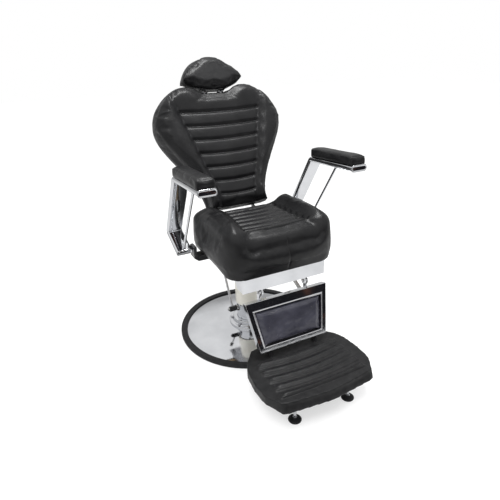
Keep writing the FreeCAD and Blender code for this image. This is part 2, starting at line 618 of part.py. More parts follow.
def build_recline_hinge():
    ears = []
    cranks = []
    pins = []
    for side, sign in RIGHT_AND_LEFT:
        ear_points = (
            ("pivot_y - 150", "mount_top + 11"), ("pivot_y - 60", "mount_top + 11"),
            ("pivot_y - 38", "mount_top + 45"), ("pivot_y - 28", "board_low - 1"), ("pivot_y - 10", "pivot_z - 48"),
            ("pivot_y + 18", "pivot_z - 18"), ("pivot_y + lug_radius", "pivot_z"),
            ("pivot_y + 16", "pivot_z + 16"), ("pivot_y", "pivot_z + lug_radius"), ("pivot_y - 16", "pivot_z + 16"),
            ("pivot_y - lug_radius", "pivot_z"), ("pivot_y - 30", "pivot_z - 25"),
            ("seat_back + seat_back_gap", "pivot_z - 65"), ("seat_back + seat_back_gap", "board_low - 5"),
            ("pivot_y - 150", "board_low - 5"))
        ear = plate(f"back_ear_{side}", "YZ_Plane", ear_points, "ear_thick", "both",
                    holes=(("pivot_radius", ("pivot_y", "pivot_z")),))
        ears.append(place(ear, (f"{sign} * (rail_inner - ear_thick / 2)", "0", "0")))
        head_x = "rail_inner - ear_thick - 6"
        shaft = cross_bar(f"hinge_shaft_{side}", "pivot_radius", f"{PLATE_OUT} + 4 - ({head_x})",
                          f"{head_x}" if sign > 0 else f"-({PLATE_OUT} + 4)", "pivot_y", "pivot_z")
        head = cross_bar(f"hinge_head_{side}", "pivot_radius + 4", "6",
                         f"{head_x}" if sign > 0 else "-(rail_inner - ear_thick)", "pivot_y", "pivot_z")
        pins.append(fuse(f"hinge_pin_{side}", shaft, head))

        strap_top_front = on_back("strap_up", "back_thick + shell_thick")
        strap_top_rear = on_back("strap_up", "back_thick + shell_thick + strap_thick")
        strap_low_rear = on_back("-10", "back_thick + shell_thick + strap_thick + 4")
        strap_low_front = on_back("-3", "back_thick + shell_thick")
        crank = plate(f"back_plate_{side}", "YZ_Plane", (
            strap_top_front, strap_top_rear, strap_low_rear, (f"{CRANK_Y} + 16", f"{CRANK_Z} + 5"),
            (f"{CRANK_Y} + 11", f"{CRANK_Z} - 11"), (CRANK_Y, f"{CRANK_Z} - 15"), (f"{CRANK_Y} - 11", f"{CRANK_Z} - 11"),
            ("pivot_y - lug_radius", "pivot_z - 10"), ("pivot_y - lug_radius", "pivot_z + 8"),
            ("pivot_y - 14", "pivot_z + 20"), ("pivot_y", "pivot_z + lug_radius + 2"), strap_low_front), "ear_thick", "both",
            holes=(("pivot_radius + running_gap", ("pivot_y", "pivot_z")), ("crank_bar_radius", (CRANK_Y, CRANK_Z))))
        cranks.append(place(crank, (f"{sign} * ({PLATE_IN} + ear_thick / 2)", "0", "0")))
    keep("back_hinge_ears", group("back_hinge_ears", *ears))
    keep("back_plates", group("back_plates", *cranks))
    keep("back_hinge_pins", group("back_hinge_pins", *pins))
    keep("crank_bar", cross_bar("crank_bar", "crank_bar_radius", f"{PLATE_OUT} + link_x + ear_thick + 4",
                                f"-{PLATE_OUT}", CRANK_Y, CRANK_Z))


# ---------------------------------------------------------------- back rest and headrest

def back_outline(inset):
    """Closed face of the heart-shaped back in its own plane: x across and z up."""
    low = size_of("back_low") + inset
    half = [(size_of(x) - inset, z) for x, z in (
        ("waist_half", low), ("flare_half", size_of("flare_up")), ("widest_half", size_of("widest_up")),
        ("lobe_half", size_of("lobe_up") - inset))]
    notch = (size_of("notch_half"), size_of("notch_up") - inset)
    side = Part.BSplineCurve()
    side.interpolate([FreeCAD.Vector(x, 0, z) for x, z in half + [notch]])
    mirrored = side.toShape().mirror(FreeCAD.Vector(), FreeCAD.Vector(1, 0, 0))
    low_left, low_right = (FreeCAD.Vector(sign * half[0][0], 0, low) for sign in (1, -1))
    top_left, top_right = (FreeCAD.Vector(sign * notch[0], 0, notch[1]) for sign in (1, -1))
    edges = [side.toShape(), mirrored, Part.makeLine(low_left, low_right), Part.makeLine(top_left, top_right)]
    return Part.Face(Part.Wire(Part.__sortEdges__(edges)))


def place_on_back(item, x, up, behind):
    y, z = on_back(up, behind)
    return place(item, (x, y, z), LEAN_BACK, "back_lean")


def build_back():
    cushion = back_outline(0).extrude(FreeCAD.Vector(0, size_of("back_thick"), 0))
    for side, sign in RIGHT_AND_LEFT:
        foot = FreeCAD.Vector(sign * size_of("post_x"), size_of("post_in"), size_of("socket_low"))
        bore_radius = size_of("post_radius + running_gap + socket_wall")
        cushion = cushion.cut(Part.makeCylinder(bore_radius, size_of("notch_up"), foot))
    back_cushion = doc.addObject("Part::Feature", "back_cushion_shape")
    back_cushion.Shape = cushion
    keep("back_cushion", place_on_back(back_cushion, "0", "0", "0"))

    back_shell = doc.addObject("Part::Feature", "back_shell_shape")
    back_shell.Shape = back_outline(size_of("shell_inset")).extrude(FreeCAD.Vector(0, size_of("shell_thick"), 0))
    keep("back_shell", place_on_back(back_shell, "0", "0", "back_thick"))

    sockets = []
    ovals = []
    posts = []
    for side, sign in RIGHT_AND_LEFT:
        x = f"{sign} * post_x"
        sockets.append(tube(f"headrest_socket_{side}", "post_radius + running_gap",
                            "post_radius + running_gap + socket_wall", "notch_up - socket_low",
                            lambda bar, x=x: place_on_back(bar, x, "socket_low", "post_in")))
        body = new_body(f"headrest_oval_{side}")
        sketch = new_sketch(body, "XY_Plane", f"headrest_oval_{side}_outline")
        draw_flat_oval(sketch, "oval_wide", "oval_deep")
        draw_circle(sketch, "post_radius + running_gap")
        pad(body, sketch, "oval_thick")
        ovals.append(place_on_back(body, x, "notch_up", "post_in"))
        posts.append(place_on_back(round_bar(f"headrest_post_{side}", "post_radius", "head_plate_up - post_low"),
                                   x, "post_low", "post_in"))
    keep("headrest_sockets", group("headrest_sockets", *sockets))
    keep("headrest_ovals", group("headrest_ovals", *ovals))
    keep("headrest_posts", group("headrest_posts", *posts))


def build_headrest():
    half_deep = "20"
    steel = plate("headrest_plate", "XY_Plane", (
        ("-head_plate_half", f"-{half_deep}"), ("head_plate_half", f"-{half_deep}"),
        ("head_plate_half", half_deep), ("-head_plate_half", half_deep)), "head_plate_thick")
    keep("headrest_plate", place_on_back(steel, "0", "head_plate_up", "post_in"))
    low = "0"
    corner = "head_corner_up - head_plate_up - head_plate_thick"
    top = "head_top_up - head_plate_up - head_plate_thick"
    pillow = plate("headrest_pad", "XZ_Plane", (
        ("-head_plate_half", low), ("head_plate_half", low), ("head_half", corner), ("head_half - 4", f"{corner} + 16"),
        ("head_top_half", top), ("-head_top_half", top), ("-head_half + 4", f"{corner} + 16"), ("-head_half", corner)),
        "head_thick", "reversed")
    round_edges(pillow, "headrest_round", "head_round",
                lambda edge: is_along_y(edge) and edge.Vertexes[0].Point.z > size_of(top) - 1)
    keep("headrest_pad", place_on_back(pillow, "0", "head_plate_up + head_plate_thick", "-head_forward"))


# ---------------------------------------------------------------- recline gas spring

SPRING_RUN = f"({CRANK_Y} - anchor_y)"
SPRING_RISE = f"({CRANK_Z} - anchor_z)"
SPRING_LONG = f"sqrt({SPRING_RUN}^2 + {SPRING_RISE}^2)"
SPRING_LEAN = f"(90 deg - atan({SPRING_RISE} / {SPRING_RUN}))"


def place_on_spring(item, along):
    """Put a round piece along the gas spring, at a distance from the anchor bar."""
    y = f"anchor_y + ({along}) * sin({SPRING_LEAN})"
    z = f"anchor_z + ({along}) * cos({SPRING_LEAN})"
    return place(item, ("0", y, z), LEAN_BACK, SPRING_LEAN)


def build_gas_spring():
    case = place_on_spring(round_bar("spring_case", "cylinder_radius", "cylinder_end - cylinder_start"),
                           "cylinder_start")
    chamber = place_on_spring(round_bar("spring_chamber", "cylinder_radius - cylinder_wall",
                                        "cylinder_end - cylinder_start - 24"), "cylinder_start + 16")
    rod_hole = place_on_spring(round_bar("spring_rod_hole", "rod_radius + running_gap", "40"), "cylinder_end - 30")
    eye = cross_bar("spring_eye", "eye_radius", "eye_wide", "-eye_wide / 2", "anchor_y", "anchor_z")
    eye_hole = cross_bar("spring_eye_hole", "crank_bar_radius + running_gap", "eye_wide", "-eye_wide / 2",
                         "anchor_y", "anchor_z")
    solid = fuse("spring_solid", case, eye)
    hollow = fuse("spring_hollow", chamber, rod_hole, eye_hole)
    keep("spring_cylinder", cut("spring_cylinder", solid, hollow))

    eye_inner = "crank_bar_radius + open_eye_gap"
    eye_outer = f"({eye_inner} + open_eye_wall)"
    rod = place_on_spring(round_bar("spring_rod", "rod_radius", f"{SPRING_LONG} - rod_start - {eye_inner} - 2"),
                          "rod_start")
    piston = place_on_spring(round_bar("spring_piston", "cylinder_radius - cylinder_wall - running_gap", "piston_thick"),
                             "rod_start")
    ring = cross_bar("spring_open_eye", eye_outer, "eye_wide", "-eye_wide / 2", CRANK_Y, CRANK_Z)
    ring_hole = cross_bar("spring_open_hole", eye_inner, "eye_wide", "-eye_wide / 2", CRANK_Y, CRANK_Z)
    keep("spring_rod", cut("spring_rod", fuse("spring_rod_solid", rod, piston, ring), ring_hole))


# ---------------------------------------------------------------- leg rest

def leg_half(down):
    """Half width of the leg rest at a distance below its top edge."""
    return f"(leg_top_half - (leg_top_half - leg_low_half) * ({down}) / leg_long)"


def leg_trapezoid(top, sides, low):
    """Outline of the leg rest drawn in by a top, side and low margin."""
    bottom = f"(leg_long - ({low}))"
    top_half = f"{leg_half(top)} - ({sides})"
    low_half = f"{leg_half(bottom)} - ({sides})"
    return ((f"-({top_half})", f"-({top})"), (top_half, f"-({top})"), (low_half, f"-{bottom}"),
            (f"-({low_half})", f"-{bottom}"))


def place_on_leg(item, behind):
    y, z = on_leg("0", behind)
    return place(item, ("0", y, z), LEAN_BACK, "leg_lean")


LINK_LOW_Y = "(leg_pivot_y + crank_back)"
LINK_LOW_Z = "(leg_pivot_z - crank_down)"


def build_leg_rest():
    opening = leg_trapezoid("leg_top_band", "leg_side_band", "leg_low_band")
    inside_bead = leg_trapezoid("leg_top_band + bead_wide", "leg_side_band + bead_wide", "leg_low_band + bead_wide")
    frame = plate("leg_frame", "XZ_Plane", leg_trapezoid("0", "0", "0"), "leg_deep", "reversed", opening=opening)
    keep("leg_frame", place_on_leg(frame, "0"))
    bead = plate("leg_bead", "XZ_Plane", opening, "bead_deep", "reversed", opening=inside_bead)
    keep("leg_bead", place_on_leg(bead, "-bead_proud"))
    panel = plate("leg_panel", "XZ_Plane", inside_bead, "panel_thick", "reversed")
    keep("leg_panel", place_on_leg(panel, "panel_in"))
    backing = plate("leg_backing", "XZ_Plane", opening, "sheet_thick", "reversed")
    keep("leg_backing", place_on_leg(backing, "leg_deep - sheet_thick"))

    ears = []
    arms = []
    pins = []
    arm_middle = "(leg_ear_x + ear_thick + 2 + ear_thick / 2)"
    for side, sign in RIGHT_AND_LEFT:
        ear = plate(f"leg_ear_{side}", "YZ_Plane", (
            ("rail_front", "mount_top"), ("leg_pivot_y - leg_lug", "leg_pivot_z + 2"), ("leg_pivot_y - leg_lug", "leg_pivot_z - 6"),
            ("leg_pivot_y - 8", "leg_pivot_z - leg_lug"), ("leg_pivot_y + 8", "leg_pivot_z - leg_lug"),
            ("leg_pivot_y + leg_lug", "leg_pivot_z - 6"), ("leg_pivot_y + 35", "mount_top")), "ear_thick", "both",
            holes=(("leg_pin_radius", ("leg_pivot_y", "leg_pivot_z")),))
        ears.append(place(ear, (f"{sign} * (leg_ear_x + ear_thick / 2)", "0", "0")))
        arm_points = (
            ("leg_pivot_y - leg_lug", "leg_pivot_z"), ("leg_pivot_y - 9", "leg_pivot_z + 9"),
            ("leg_pivot_y", "leg_pivot_z + leg_lug"), ("leg_pivot_y + 9", "leg_pivot_z + 9"),
            ("leg_pivot_y + leg_lug", "leg_pivot_z"), ("leg_pivot_y + leg_lug", "leg_pivot_z - 45"),
            (f"{LINK_LOW_Y} + 10", f"{LINK_LOW_Z} + 9"), (f"{LINK_LOW_Y} + 12", f"{LINK_LOW_Z} - 4"),
            (f"{LINK_LOW_Y} + 2", f"{LINK_LOW_Z} - 12"), (f"{LINK_LOW_Y} - 12", f"{LINK_LOW_Z} - 10"),
            on_leg("-150", "leg_deep + 14"), on_leg("-175", "leg_deep"), on_leg("-12", "leg_deep"),
            on_leg("4", "leg_deep + 2"))
        arm = plate(f"leg_arm_{side}", "YZ_Plane", arm_points, "ear_thick", "both",
                    holes=(("leg_pin_radius + running_gap", ("leg_pivot_y", "leg_pivot_z")),
                           ("link_low_pin", (LINK_LOW_Y, LINK_LOW_Z))))
        arms.append(place(arm, (f"{sign} * {arm_middle}", "0", "0")))
        pin_long = "2 * ear_thick + 2 + 8"
        pins.append(cross_bar(f"leg_pin_{side}", "leg_pin_radius", pin_long,
                              "leg_ear_x - 4" if sign > 0 else f"-leg_ear_x + 4 - ({pin_long})",
                              "leg_pivot_y", "leg_pivot_z"))
    keep("leg_hinge_ears", group("leg_hinge_ears", *ears))
    keep("leg_arms", group("leg_arms", *arms))
    keep("leg_hinge_pins", group("leg_hinge_pins", *pins))
    link_pin_start = f"({arm_middle} - ear_thick / 2)"
    keep("link_pin", cross_bar("link_pin", "link_low_pin", f"link_x + ear_thick + 4 - {link_pin_start}",
                               link_pin_start, LINK_LOW_Y, LINK_LOW_Z))


def build_link():
    run = f"({CRANK_Y} - {LINK_LOW_Y})"
    rise = f"({CRANK_Z} - {LINK_LOW_Z})"
    long = f"sqrt({run}^2 + {rise}^2)"
    lean = f"(90 deg - atan({rise} / {run}))"
    bar = plate("link_bar", "YZ_Plane", (
        ("-link_half_high", "0"), ("link_half_high", "0"), ("link_half_high", long), ("-link_half_high", long)),
        "ear_thick", "both")
    place(bar, ("link_x + ear_thick / 2", LINK_LOW_Y, LINK_LOW_Z), LEAN_BACK, lean)
    ends = ((LINK_LOW_Y, LINK_LOW_Z, "link_low_pin"), (CRANK_Y, CRANK_Z, "crank_bar_radius"))
    eyes = [cross_bar(f"link_eye_{index}", "link_eye", "ear_thick", "link_x", y, z)
            for index, (y, z, pin) in enumerate(ends)]
    holes = [cross_bar(f"link_hole_{index}", f"{pin} + running_gap", "ear_thick", "link_x", y, z)
             for index, (y, z, pin) in enumerate(ends)]
    keep("link_bar", cut("link_bar", fuse("link_solid", bar, *eyes), fuse("link_holes", *holes)))


# ---------------------------------------------------------------- footrest

FOOT_SIDE = (("foot_front_half", "foot_front + 14"), ("foot_half_wide - 5", "foot_front + 70"),
             ("foot_half_wide", "foot_wide_y"), ("foot_half_wide - 9", "foot_shoulder_y - 49"),
             ("foot_shoulder_half", "foot_shoulder_y"), ("foot_back_half + 50", "foot_back - 8"))


def foot_outline(inset):
    """Plan of the footrest: bowed front edge, widest past the middle, rounded back corners."""
    left = [(f"{x} - {inset}", y) for x, y in FOOT_SIDE]
    left[0] = (left[0][0], f"{FOOT_SIDE[0][1]} + {inset}")
    right = [(f"-({x})", y) for x, y in reversed(left)]
    front = [(f"-(foot_front_half - 10 - {inset})", f"foot_front + {inset}"), ("0", f"foot_front - foot_bow + {inset}"),
             (f"foot_front_half - 10 - {inset}", f"foot_front + {inset}")]
    return left + [(f"foot_back_half - {inset}", f"foot_back - {inset}"),
                   (f"-(foot_back_half - {inset})", f"foot_back - {inset}")] + right + front


def build_footrest():
    tread = plate("footrest_tread", "XY_Plane", foot_outline("0"), "foot_thick")
    place(tread, ("0", "0", "foot_top - rib_high - foot_thick"))
    rib = new_sketch(tread, "XY_Plane", "footrest_rib")
    rib.setExpression("AttachmentOffset.Base.z", bound("foot_thick"))
    draw_outline(rib, (("-rib_half", "rib_first - rib_wide"), ("rib_half", "rib_first - rib_wide"),
                       ("rib_half", "rib_first"), ("-rib_half", "rib_first")))
    raised = pad(tread, rib, "rib_high")
    row = tread.newObject("PartDesign::LinearPattern", "footrest_ribs")
    row.Originals = [raised]
    row.Direction = (rib, ["V_Axis"])
    row.Reversed = True
    row.setExpression("Length", bound("rib_pitch * (rib_count - 1)"))
    row.setExpression("Occurrences", bound("rib_count"))
    tread.Tip = row
    keep("footrest_tread", tread)
    tread_low = "(foot_top - rib_high - foot_thick)"
    tray = plate("footrest_tray", "XY_Plane", foot_outline("tray_inset"), "tray_thick")
    keep("footrest_tray", place(tray, ("0", "0", f"{tread_low} - tray_thick")))

    brackets = []
    stems = []
    feet = []
    for side, sign in RIGHT_AND_LEFT:
        front_y, front_z = on_leg("-leg_long", "4")
        back_y, back_z = on_leg("-leg_long", "leg_deep - 2")
        foot = "(foot_top - rib_high)"
        web = plate(f"foot_bracket_{side}", "YZ_Plane", (
            (front_y, foot), (f"{back_y} + 12", foot), (back_y, back_z), (front_y, front_z)),
            "foot_bracket_thick", "both")
        brackets.append(place(web, (f"{sign} * foot_bracket_x", "0", "0")))
        stems.append(place(round_bar(f"glide_stem_{side}", "stem_radius", f"{tread_low} - tray_thick - glide_high"),
                           (f"{sign} * glide_x", "glide_y", "glide_high")))
        foot_disc = turned(f"glide_foot_{side}", (
            ("0", "0"), ("glide_radius - 3", "0"), ("glide_radius", "3"), ("glide_radius - 4", "6"),
            ("stem_radius + 4", "glide_high"), ("0", "glide_high")))
        feet.append(place(foot_disc, (f"{sign} * glide_x", "glide_y", "0")))
    keep("footrest_brackets", group("footrest_brackets", *brackets))
    keep("glide_stems", group("glide_stems", *stems))
    keep("glide_feet", group("glide_feet", *feet))


# ---------------------------------------------------------------- assembly

def build_chair():
    build_base()
    build_pump()
    build_underframe()
    build_seat()
    build_arms()
    build_recline_hinge()
    build_back()
    build_headrest()
    build_gas_spring()
    build_leg_rest()
    build_link()
    build_footrest()


def check_document():
    for item in doc.Objects:
        if "Invalid" in item.State or "Error" in item.State:
            raise RuntimeError(f"{item.Label} did not build: {item.State}")
    for name, item in nodes.items():
        if item.Shape.isNull() or not item.Shape.isValid() or not item.Shape.Solids:
            raise RuntimeError(f"{name} is not a valid solid")


def write_parts():
    os.makedirs("parts", exist_ok=True)
    for name, item in nodes.items():
        item.Shape.exportStep(f"parts/{name}.step")


build_chair()
doc.recompute()
check_document()
write_parts()
print(len(nodes), "sub-parts written")
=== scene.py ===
"""Hydraulic barber chair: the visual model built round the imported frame."""

import logging
import math
from dataclasses import dataclass, field
from enum import Enum
from typing import Callable, Iterable, Sequence

import bmesh
import bpy
import numpy as np
from mathutils import Matrix, Vector, noise


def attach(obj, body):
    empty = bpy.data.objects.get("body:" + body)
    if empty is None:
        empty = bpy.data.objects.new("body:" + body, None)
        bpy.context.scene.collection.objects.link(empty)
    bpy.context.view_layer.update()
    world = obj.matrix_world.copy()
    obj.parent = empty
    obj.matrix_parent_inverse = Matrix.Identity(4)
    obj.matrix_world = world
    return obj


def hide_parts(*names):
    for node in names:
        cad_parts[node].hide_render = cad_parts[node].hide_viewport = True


logging.basicConfig(level=logging.INFO, format="%(message)s")
log = logging.getLogger("barber_chair")

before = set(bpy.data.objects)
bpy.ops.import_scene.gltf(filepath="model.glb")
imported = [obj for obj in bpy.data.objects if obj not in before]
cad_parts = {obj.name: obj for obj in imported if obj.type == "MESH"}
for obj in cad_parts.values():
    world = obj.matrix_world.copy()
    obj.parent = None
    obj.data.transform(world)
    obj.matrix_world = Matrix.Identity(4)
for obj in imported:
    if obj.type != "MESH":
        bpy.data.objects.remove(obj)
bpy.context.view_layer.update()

Piece = bpy.types.Object
Socket = bpy.types.NodeSocket
Flat = tuple[float, float]
Point = tuple[float, float, float]
Colour = tuple[float, float, float, float]
VertexTest = Callable[[Vector], bool]
PlaceTest = Callable[[np.ndarray], np.ndarray]
Shaper = Callable[[np.ndarray, np.ndarray], np.ndarray]

MERGE_GAP = 1e-5
WELD_GAP = 0.00002
DEGENERATE_GAP = 1e-6
CORNER_REACH = 0.49
BROKEN_EDGE_ANGLE = 40
CLOTH_QUALITY = 4
CLOTH_MASS = 0.3
CLOTH_STIFFNESS = 12.0
CLOTH_BENDING = 0.6
CLOTH_FRAMES = 20


class Slot(Enum):
    """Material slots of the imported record."""

    RUBBER = "rubber"
    CHROME = "chrome"
    SILVER = "silver_trim"
    STEEL = "steel"
    BLACK_STEEL = "black_steel"
    CREAM_STEEL = "cream_steel"
    BRASS = "brass"
    LEATHER = "black_leather"
    GREY_LEATHER = "grey_leather"
    PLASTIC = "black_plastic"
    BOARD = "board"


class Side(Enum):
    """The sitter's right is at -X and the left at +X."""

    RIGHT = -1
    LEFT = 1

    @property
    def word(self) -> str:
        """The side's name in lower case."""
        return self.name.lower()


# ------------------------------------------------------------------ finishes

class NodeWriter:
    """Adds nodes to one tree and links them."""

    def __init__(self, tree: bpy.types.NodeTree) -> None:
        """Take the tree to write in."""
        self.tree = tree

    def add(self, kind: str, **settings: object) -> bpy.types.Node:
        """Add a node and set its properties.

        Args:
            kind: the node's class name.
            settings: properties of the node, by name.

        Returns:
            The new node.
        """
        node = self.tree.nodes.new(kind)
        for name, value in settings.items():
            setattr(node, name, value)
        return node

    def link(self, source: Socket, target: Socket) -> None:
        """Link an output to an input."""
        self.tree.links.new(source, target)


class NodeBench(NodeWriter):
    """Writes the nodes of one material."""

    def __init__(self, name: str) -> None:
        """Start an empty material with a Principled shader.

        Args:
            name: the material's name.
        """
        self.material = bpy.data.materials.new(name)
        self.material.use_nodes = True
        super().__init__(self.material.node_tree)
        self.shader = self.tree.nodes["Principled BSDF"]
        self.coordinates = self.add("ShaderNodeTexCoord").outputs["Object"]

    def mapping(self, scale: Point) -> Socket:
        """Object coordinates stretched by a scale.

        Args:
            scale: the stretch along X, Y and Z.

        Returns:
            The stretched coordinates.
        """
        node = self.add("ShaderNodeMapping")
        node.inputs["Scale"].default_value = scale
        self.link(self.coordinates, node.inputs["Vector"])
        return node.outputs["Vector"]

    def noise(self, scale: float, detail: float = 3.0, place: Socket | None = None) -> Socket:
        """A noise texture on Object coordinates.

        Args:
            scale: how fine the noise is, per metre.
            detail: octaves of finer noise.
            place: other coordinates to read.

        Returns:
            The noise's value.
        """
        node = self.add("ShaderNodeTexNoise")
        node.inputs["Scale"].default_value = scale
        node.inputs["Detail"].default_value = detail
        self.link(place or self.coordinates, node.inputs["Vector"])
        return node.outputs["Fac"]

    def cells(self, scale: float) -> Socket:
        """Distance to the edges of a cell pattern, as in leather grain.

        Args:
            scale: cells per metre.

        Returns:
            The distance.
        """
        node = self.add("ShaderNodeTexVoronoi", feature="DISTANCE_TO_EDGE")
        node.inputs["Scale"].default_value = scale
        self.link(self.coordinates, node.inputs["Vector"])
        return node.outputs["Distance"]

    def spread(self, value: Socket, low: float, high: float,
               start: float = 0.3, end: float = 0.7) -> Socket:
        """Map a value from start..end to low..high.

        Args:
            value: the value to map.
            low: the result at start.
            high: the result at end.
            start: the value that gives low.
            end: the value that gives high.

        Returns:
            The mapped value.
        """
        node = self.add("ShaderNodeMapRange")
        self.link(value, node.inputs["Value"])
        for name, number in (("From Min", start), ("From Max", end), ("To Min", low), ("To Max", high)):
            node.inputs[name].default_value = number
        return node.outputs["Result"]

    def colour_between(self, value: Socket, dark: Colour, light: Colour) -> None:
        """Colour the surface between two tones.

        Args:
            value: 0 gives the dark tone and 1 the light one.
            dark: the dark tone.
            light: the light tone.
        """
        node = self.add("ShaderNodeMix", data_type="RGBA")
        self.link(value, node.inputs["Factor"])
        node.inputs["A"].default_value = dark
        node.inputs["B"].default_value = light
        self.link(node.outputs["Result"], self.shader.inputs["Base Color"])

    def bump(self, *layers: tuple[Socket, float, float]) -> None:
        """Stack bump layers, each a height, a strength and a depth in metres.

        Args:
            layers: (height, strength, distance) of each layer.
        """
        normal = None
        for height, strength, distance in layers:
            node = self.add("ShaderNodeBump")
            node.inputs["Strength"].default_value = strength
            node.inputs["Distance"].default_value = distance
            self.link(height, node.inputs["Height"])
            if normal:
                self.link(normal, node.inputs["Normal"])
            normal = node.outputs["Normal"]
        self.link(normal, self.shader.inputs["Normal"])

    def set(self, **values: object) -> None:
        """Set inputs of the Principled shader; an underscore stands for a space."""
        for name, value in values.items():
            self.shader.inputs[name.replace("_", " ")].default_value = value


def tone(red: float, green: float, blue: float) -> Colour:
    """An opaque colour."""
    return (red, green, blue, 1.0)


@dataclass(frozen=True)
class Finish:
    """A finish with a slot in the record; each kind makes its own material."""

    slot: Slot
    name: str

    def material(self) -> bpy.types.Material:
        """Return the material, made the first time it is asked for."""
        return bpy.data.materials.get(self.name) or self.make(NodeBench(self.name))

    def make(self, bench: NodeBench) -> bpy.types.Material:
        """Build the nodes."""
        raise NotImplementedError


@dataclass(frozen=True)
class Leather(Finish):
    """Upholstery leather: fine cells, soft creases, uneven gloss."""

    dark: Colour = tone(0.0045, 0.0045, 0.005)
    light: Colour = tone(0.0085, 0.0085, 0.0091)
    roughness: tuple[float, float] = (0.31, 0.43)
    grain: float = 780.0
    level: float = 0.27

    def make(self, bench: NodeBench) -> bpy.types.Material:
        """Build the leather's nodes."""
        clouds = bench.noise(14.0, 4.0)
        bench.colour_between(bench.spread(clouds, 0.0, 1.0), self.dark, self.light)
        bench.link(bench.spread(bench.noise(45.0, 5.0), *self.roughness), bench.shader.inputs["Roughness"])
        bench.set(Specular_IOR_Level=self.level)
        bench.bump((bench.noise(70.0, 6.0), 0.35, 0.0009), (bench.cells(self.grain), 0.4, 0.00025))
        return bench.material


@dataclass(frozen=True)
class Metal(Finish):
    """Polished or brushed metal with faint smears and ripples."""

    colour: Colour = tone(0.76, 0.77, 0.79)
    worn: Colour = tone(0.64, 0.65, 0.67)
    roughness: tuple[float, float] = (0.04, 0.1)
    ripple: float = 0.04
    stretch: Point = (1.0, 1.0, 1.0)
    fineness: float = 9.0

    def make(self, bench: NodeBench) -> bpy.types.Material:
        """Build the metal's nodes."""
        place = bench.mapping(self.stretch)
        smears = bench.noise(self.fineness, 5.0, place)
        bench.colour_between(bench.spread(smears, 0.0, 1.0), self.worn, self.colour)
        bench.link(bench.spread(bench.noise(self.fineness * 3, 4.0, place), *self.roughness),
                   bench.shader.inputs["Roughness"])
        bench.set(Metallic=1.0)
        bench.bump((bench.noise(self.fineness * 2, 2.0, place), self.ripple, 0.002))
        return bench.material


@dataclass(frozen=True)
class Coat(Finish):
    """Paint, plastic, rubber or board: an orange-peel or grained surface."""

    dark: Colour = tone(0.02, 0.02, 0.02)
    light: Colour = tone(0.03, 0.03, 0.03)
    roughness: tuple[float, float] = (0.3, 0.4)
    texture: float = 300.0
    depth: float = 0.0002
    stretch: Point = (1.0, 1.0, 1.0)
    gloss: float = 0.0
    level: float = 0.3

    def make(self, bench: NodeBench) -> bpy.types.Material:
        """Build the coat's nodes."""
        place = bench.mapping(self.stretch)
        mottle = bench.noise(self.texture / 12, 4.0, place)
        bench.colour_between(bench.spread(mottle, 0.0, 1.0), self.dark, self.light)
        bench.link(bench.spread(bench.noise(self.texture / 5, 3.0, place), *self.roughness),
                   bench.shader.inputs["Roughness"])
        bench.set(Coat_Weight=self.gloss, Coat_Roughness=0.1, Specular_IOR_Level=self.level)
        bench.bump((bench.noise(self.texture, 3.0, place), 0.5, self.depth))
        return bench.material


WHITE = tone(1.0, 1.0, 1.0)
BLACK_LEATHER = Leather(Slot.LEATHER, "grained_leather")
PANEL_LEATHER = Leather(Slot.GREY_LEATHER, "panel_leather", tone(0.022, 0.022, 0.031),
                        tone(0.046, 0.046, 0.062), (0.16, 0.28), level=0.5)
CHROME = Metal(Slot.CHROME, "polished_chrome")
SILVER = Metal(Slot.SILVER, "silver_bead", tone(0.88, 0.88, 0.9), tone(0.8, 0.8, 0.83), (0.12, 0.22), 0.05)
STEEL = Metal(Slot.STEEL, "bright_steel", tone(0.62, 0.62, 0.64), tone(0.5, 0.5, 0.52), (0.22, 0.38), 0.06,
              (1.0, 1.0, 12.0), 30.0)
BRASS = Metal(Slot.BRASS, "bearing_brass", tone(0.75, 0.55, 0.25), tone(0.6, 0.43, 0.2), (0.2, 0.35), 0.05)
BLACK_PAINT = Coat(Slot.BLACK_STEEL, "black_enamel", tone(0.012, 0.012, 0.013), tone(0.02, 0.02, 0.022),
                   (0.25, 0.38), 260.0, 0.0003, gloss=0.3)
CREAM_PAINT = Coat(Slot.CREAM_STEEL, "cream_enamel", tone(0.72, 0.70, 0.62), tone(0.80, 0.78, 0.71),
                   (0.2, 0.3), 200.0, 0.0002, gloss=0.5)
RUBBER = Coat(Slot.RUBBER, "black_rubber", tone(0.008, 0.008, 0.009), tone(0.014, 0.014, 0.015),
              (0.5, 0.65), 700.0, 0.0003)
MOULDED = Coat(Slot.PLASTIC, "moulded_black", tone(0.007, 0.007, 0.0075), tone(0.014, 0.014, 0.0145),
               (0.34, 0.5), 520.0, 0.0004, level=0.2)
PLYWOOD = Coat(Slot.BOARD, "plywood", tone(0.30, 0.21, 0.12), tone(0.45, 0.33, 0.2),
               (0.5, 0.7), 160.0, 0.0004, (1.0, 0.08, 4.0))


# ------------------------------------------------------------------ modelling with operators

def set_mode(mode: str) -> None:
    """Change the active object's mode if it isn't there yet."""
    if bpy.context.object and bpy.context.object.mode != mode:
        bpy.ops.object.mode_set(mode=mode)


def activate(piece: Piece) -> None:
    """Select one object alone and make it active."""
    set_mode("OBJECT")
    bpy.ops.object.select_all(action="DESELECT")
    piece.select_set(True)
    bpy.context.view_layer.objects.active = piece


def start_piece(name: str, add: Callable[..., object], **settings: object) -> Piece:
    """Add a primitive with nothing else selected.

    Args:
        name: the piece's name.
        add: the primitive operator.
        settings: the operator's settings.

    Returns:
        The new object, active and in object mode.
    """
    set_mode("OBJECT")
    bpy.ops.object.select_all(action="DESELECT")
    add(**settings)
    piece = bpy.context.object
    piece.name = name
    piece.data.name = name
    bpy.ops.object.transform_apply(location=True, rotation=True, scale=True)
    return piece


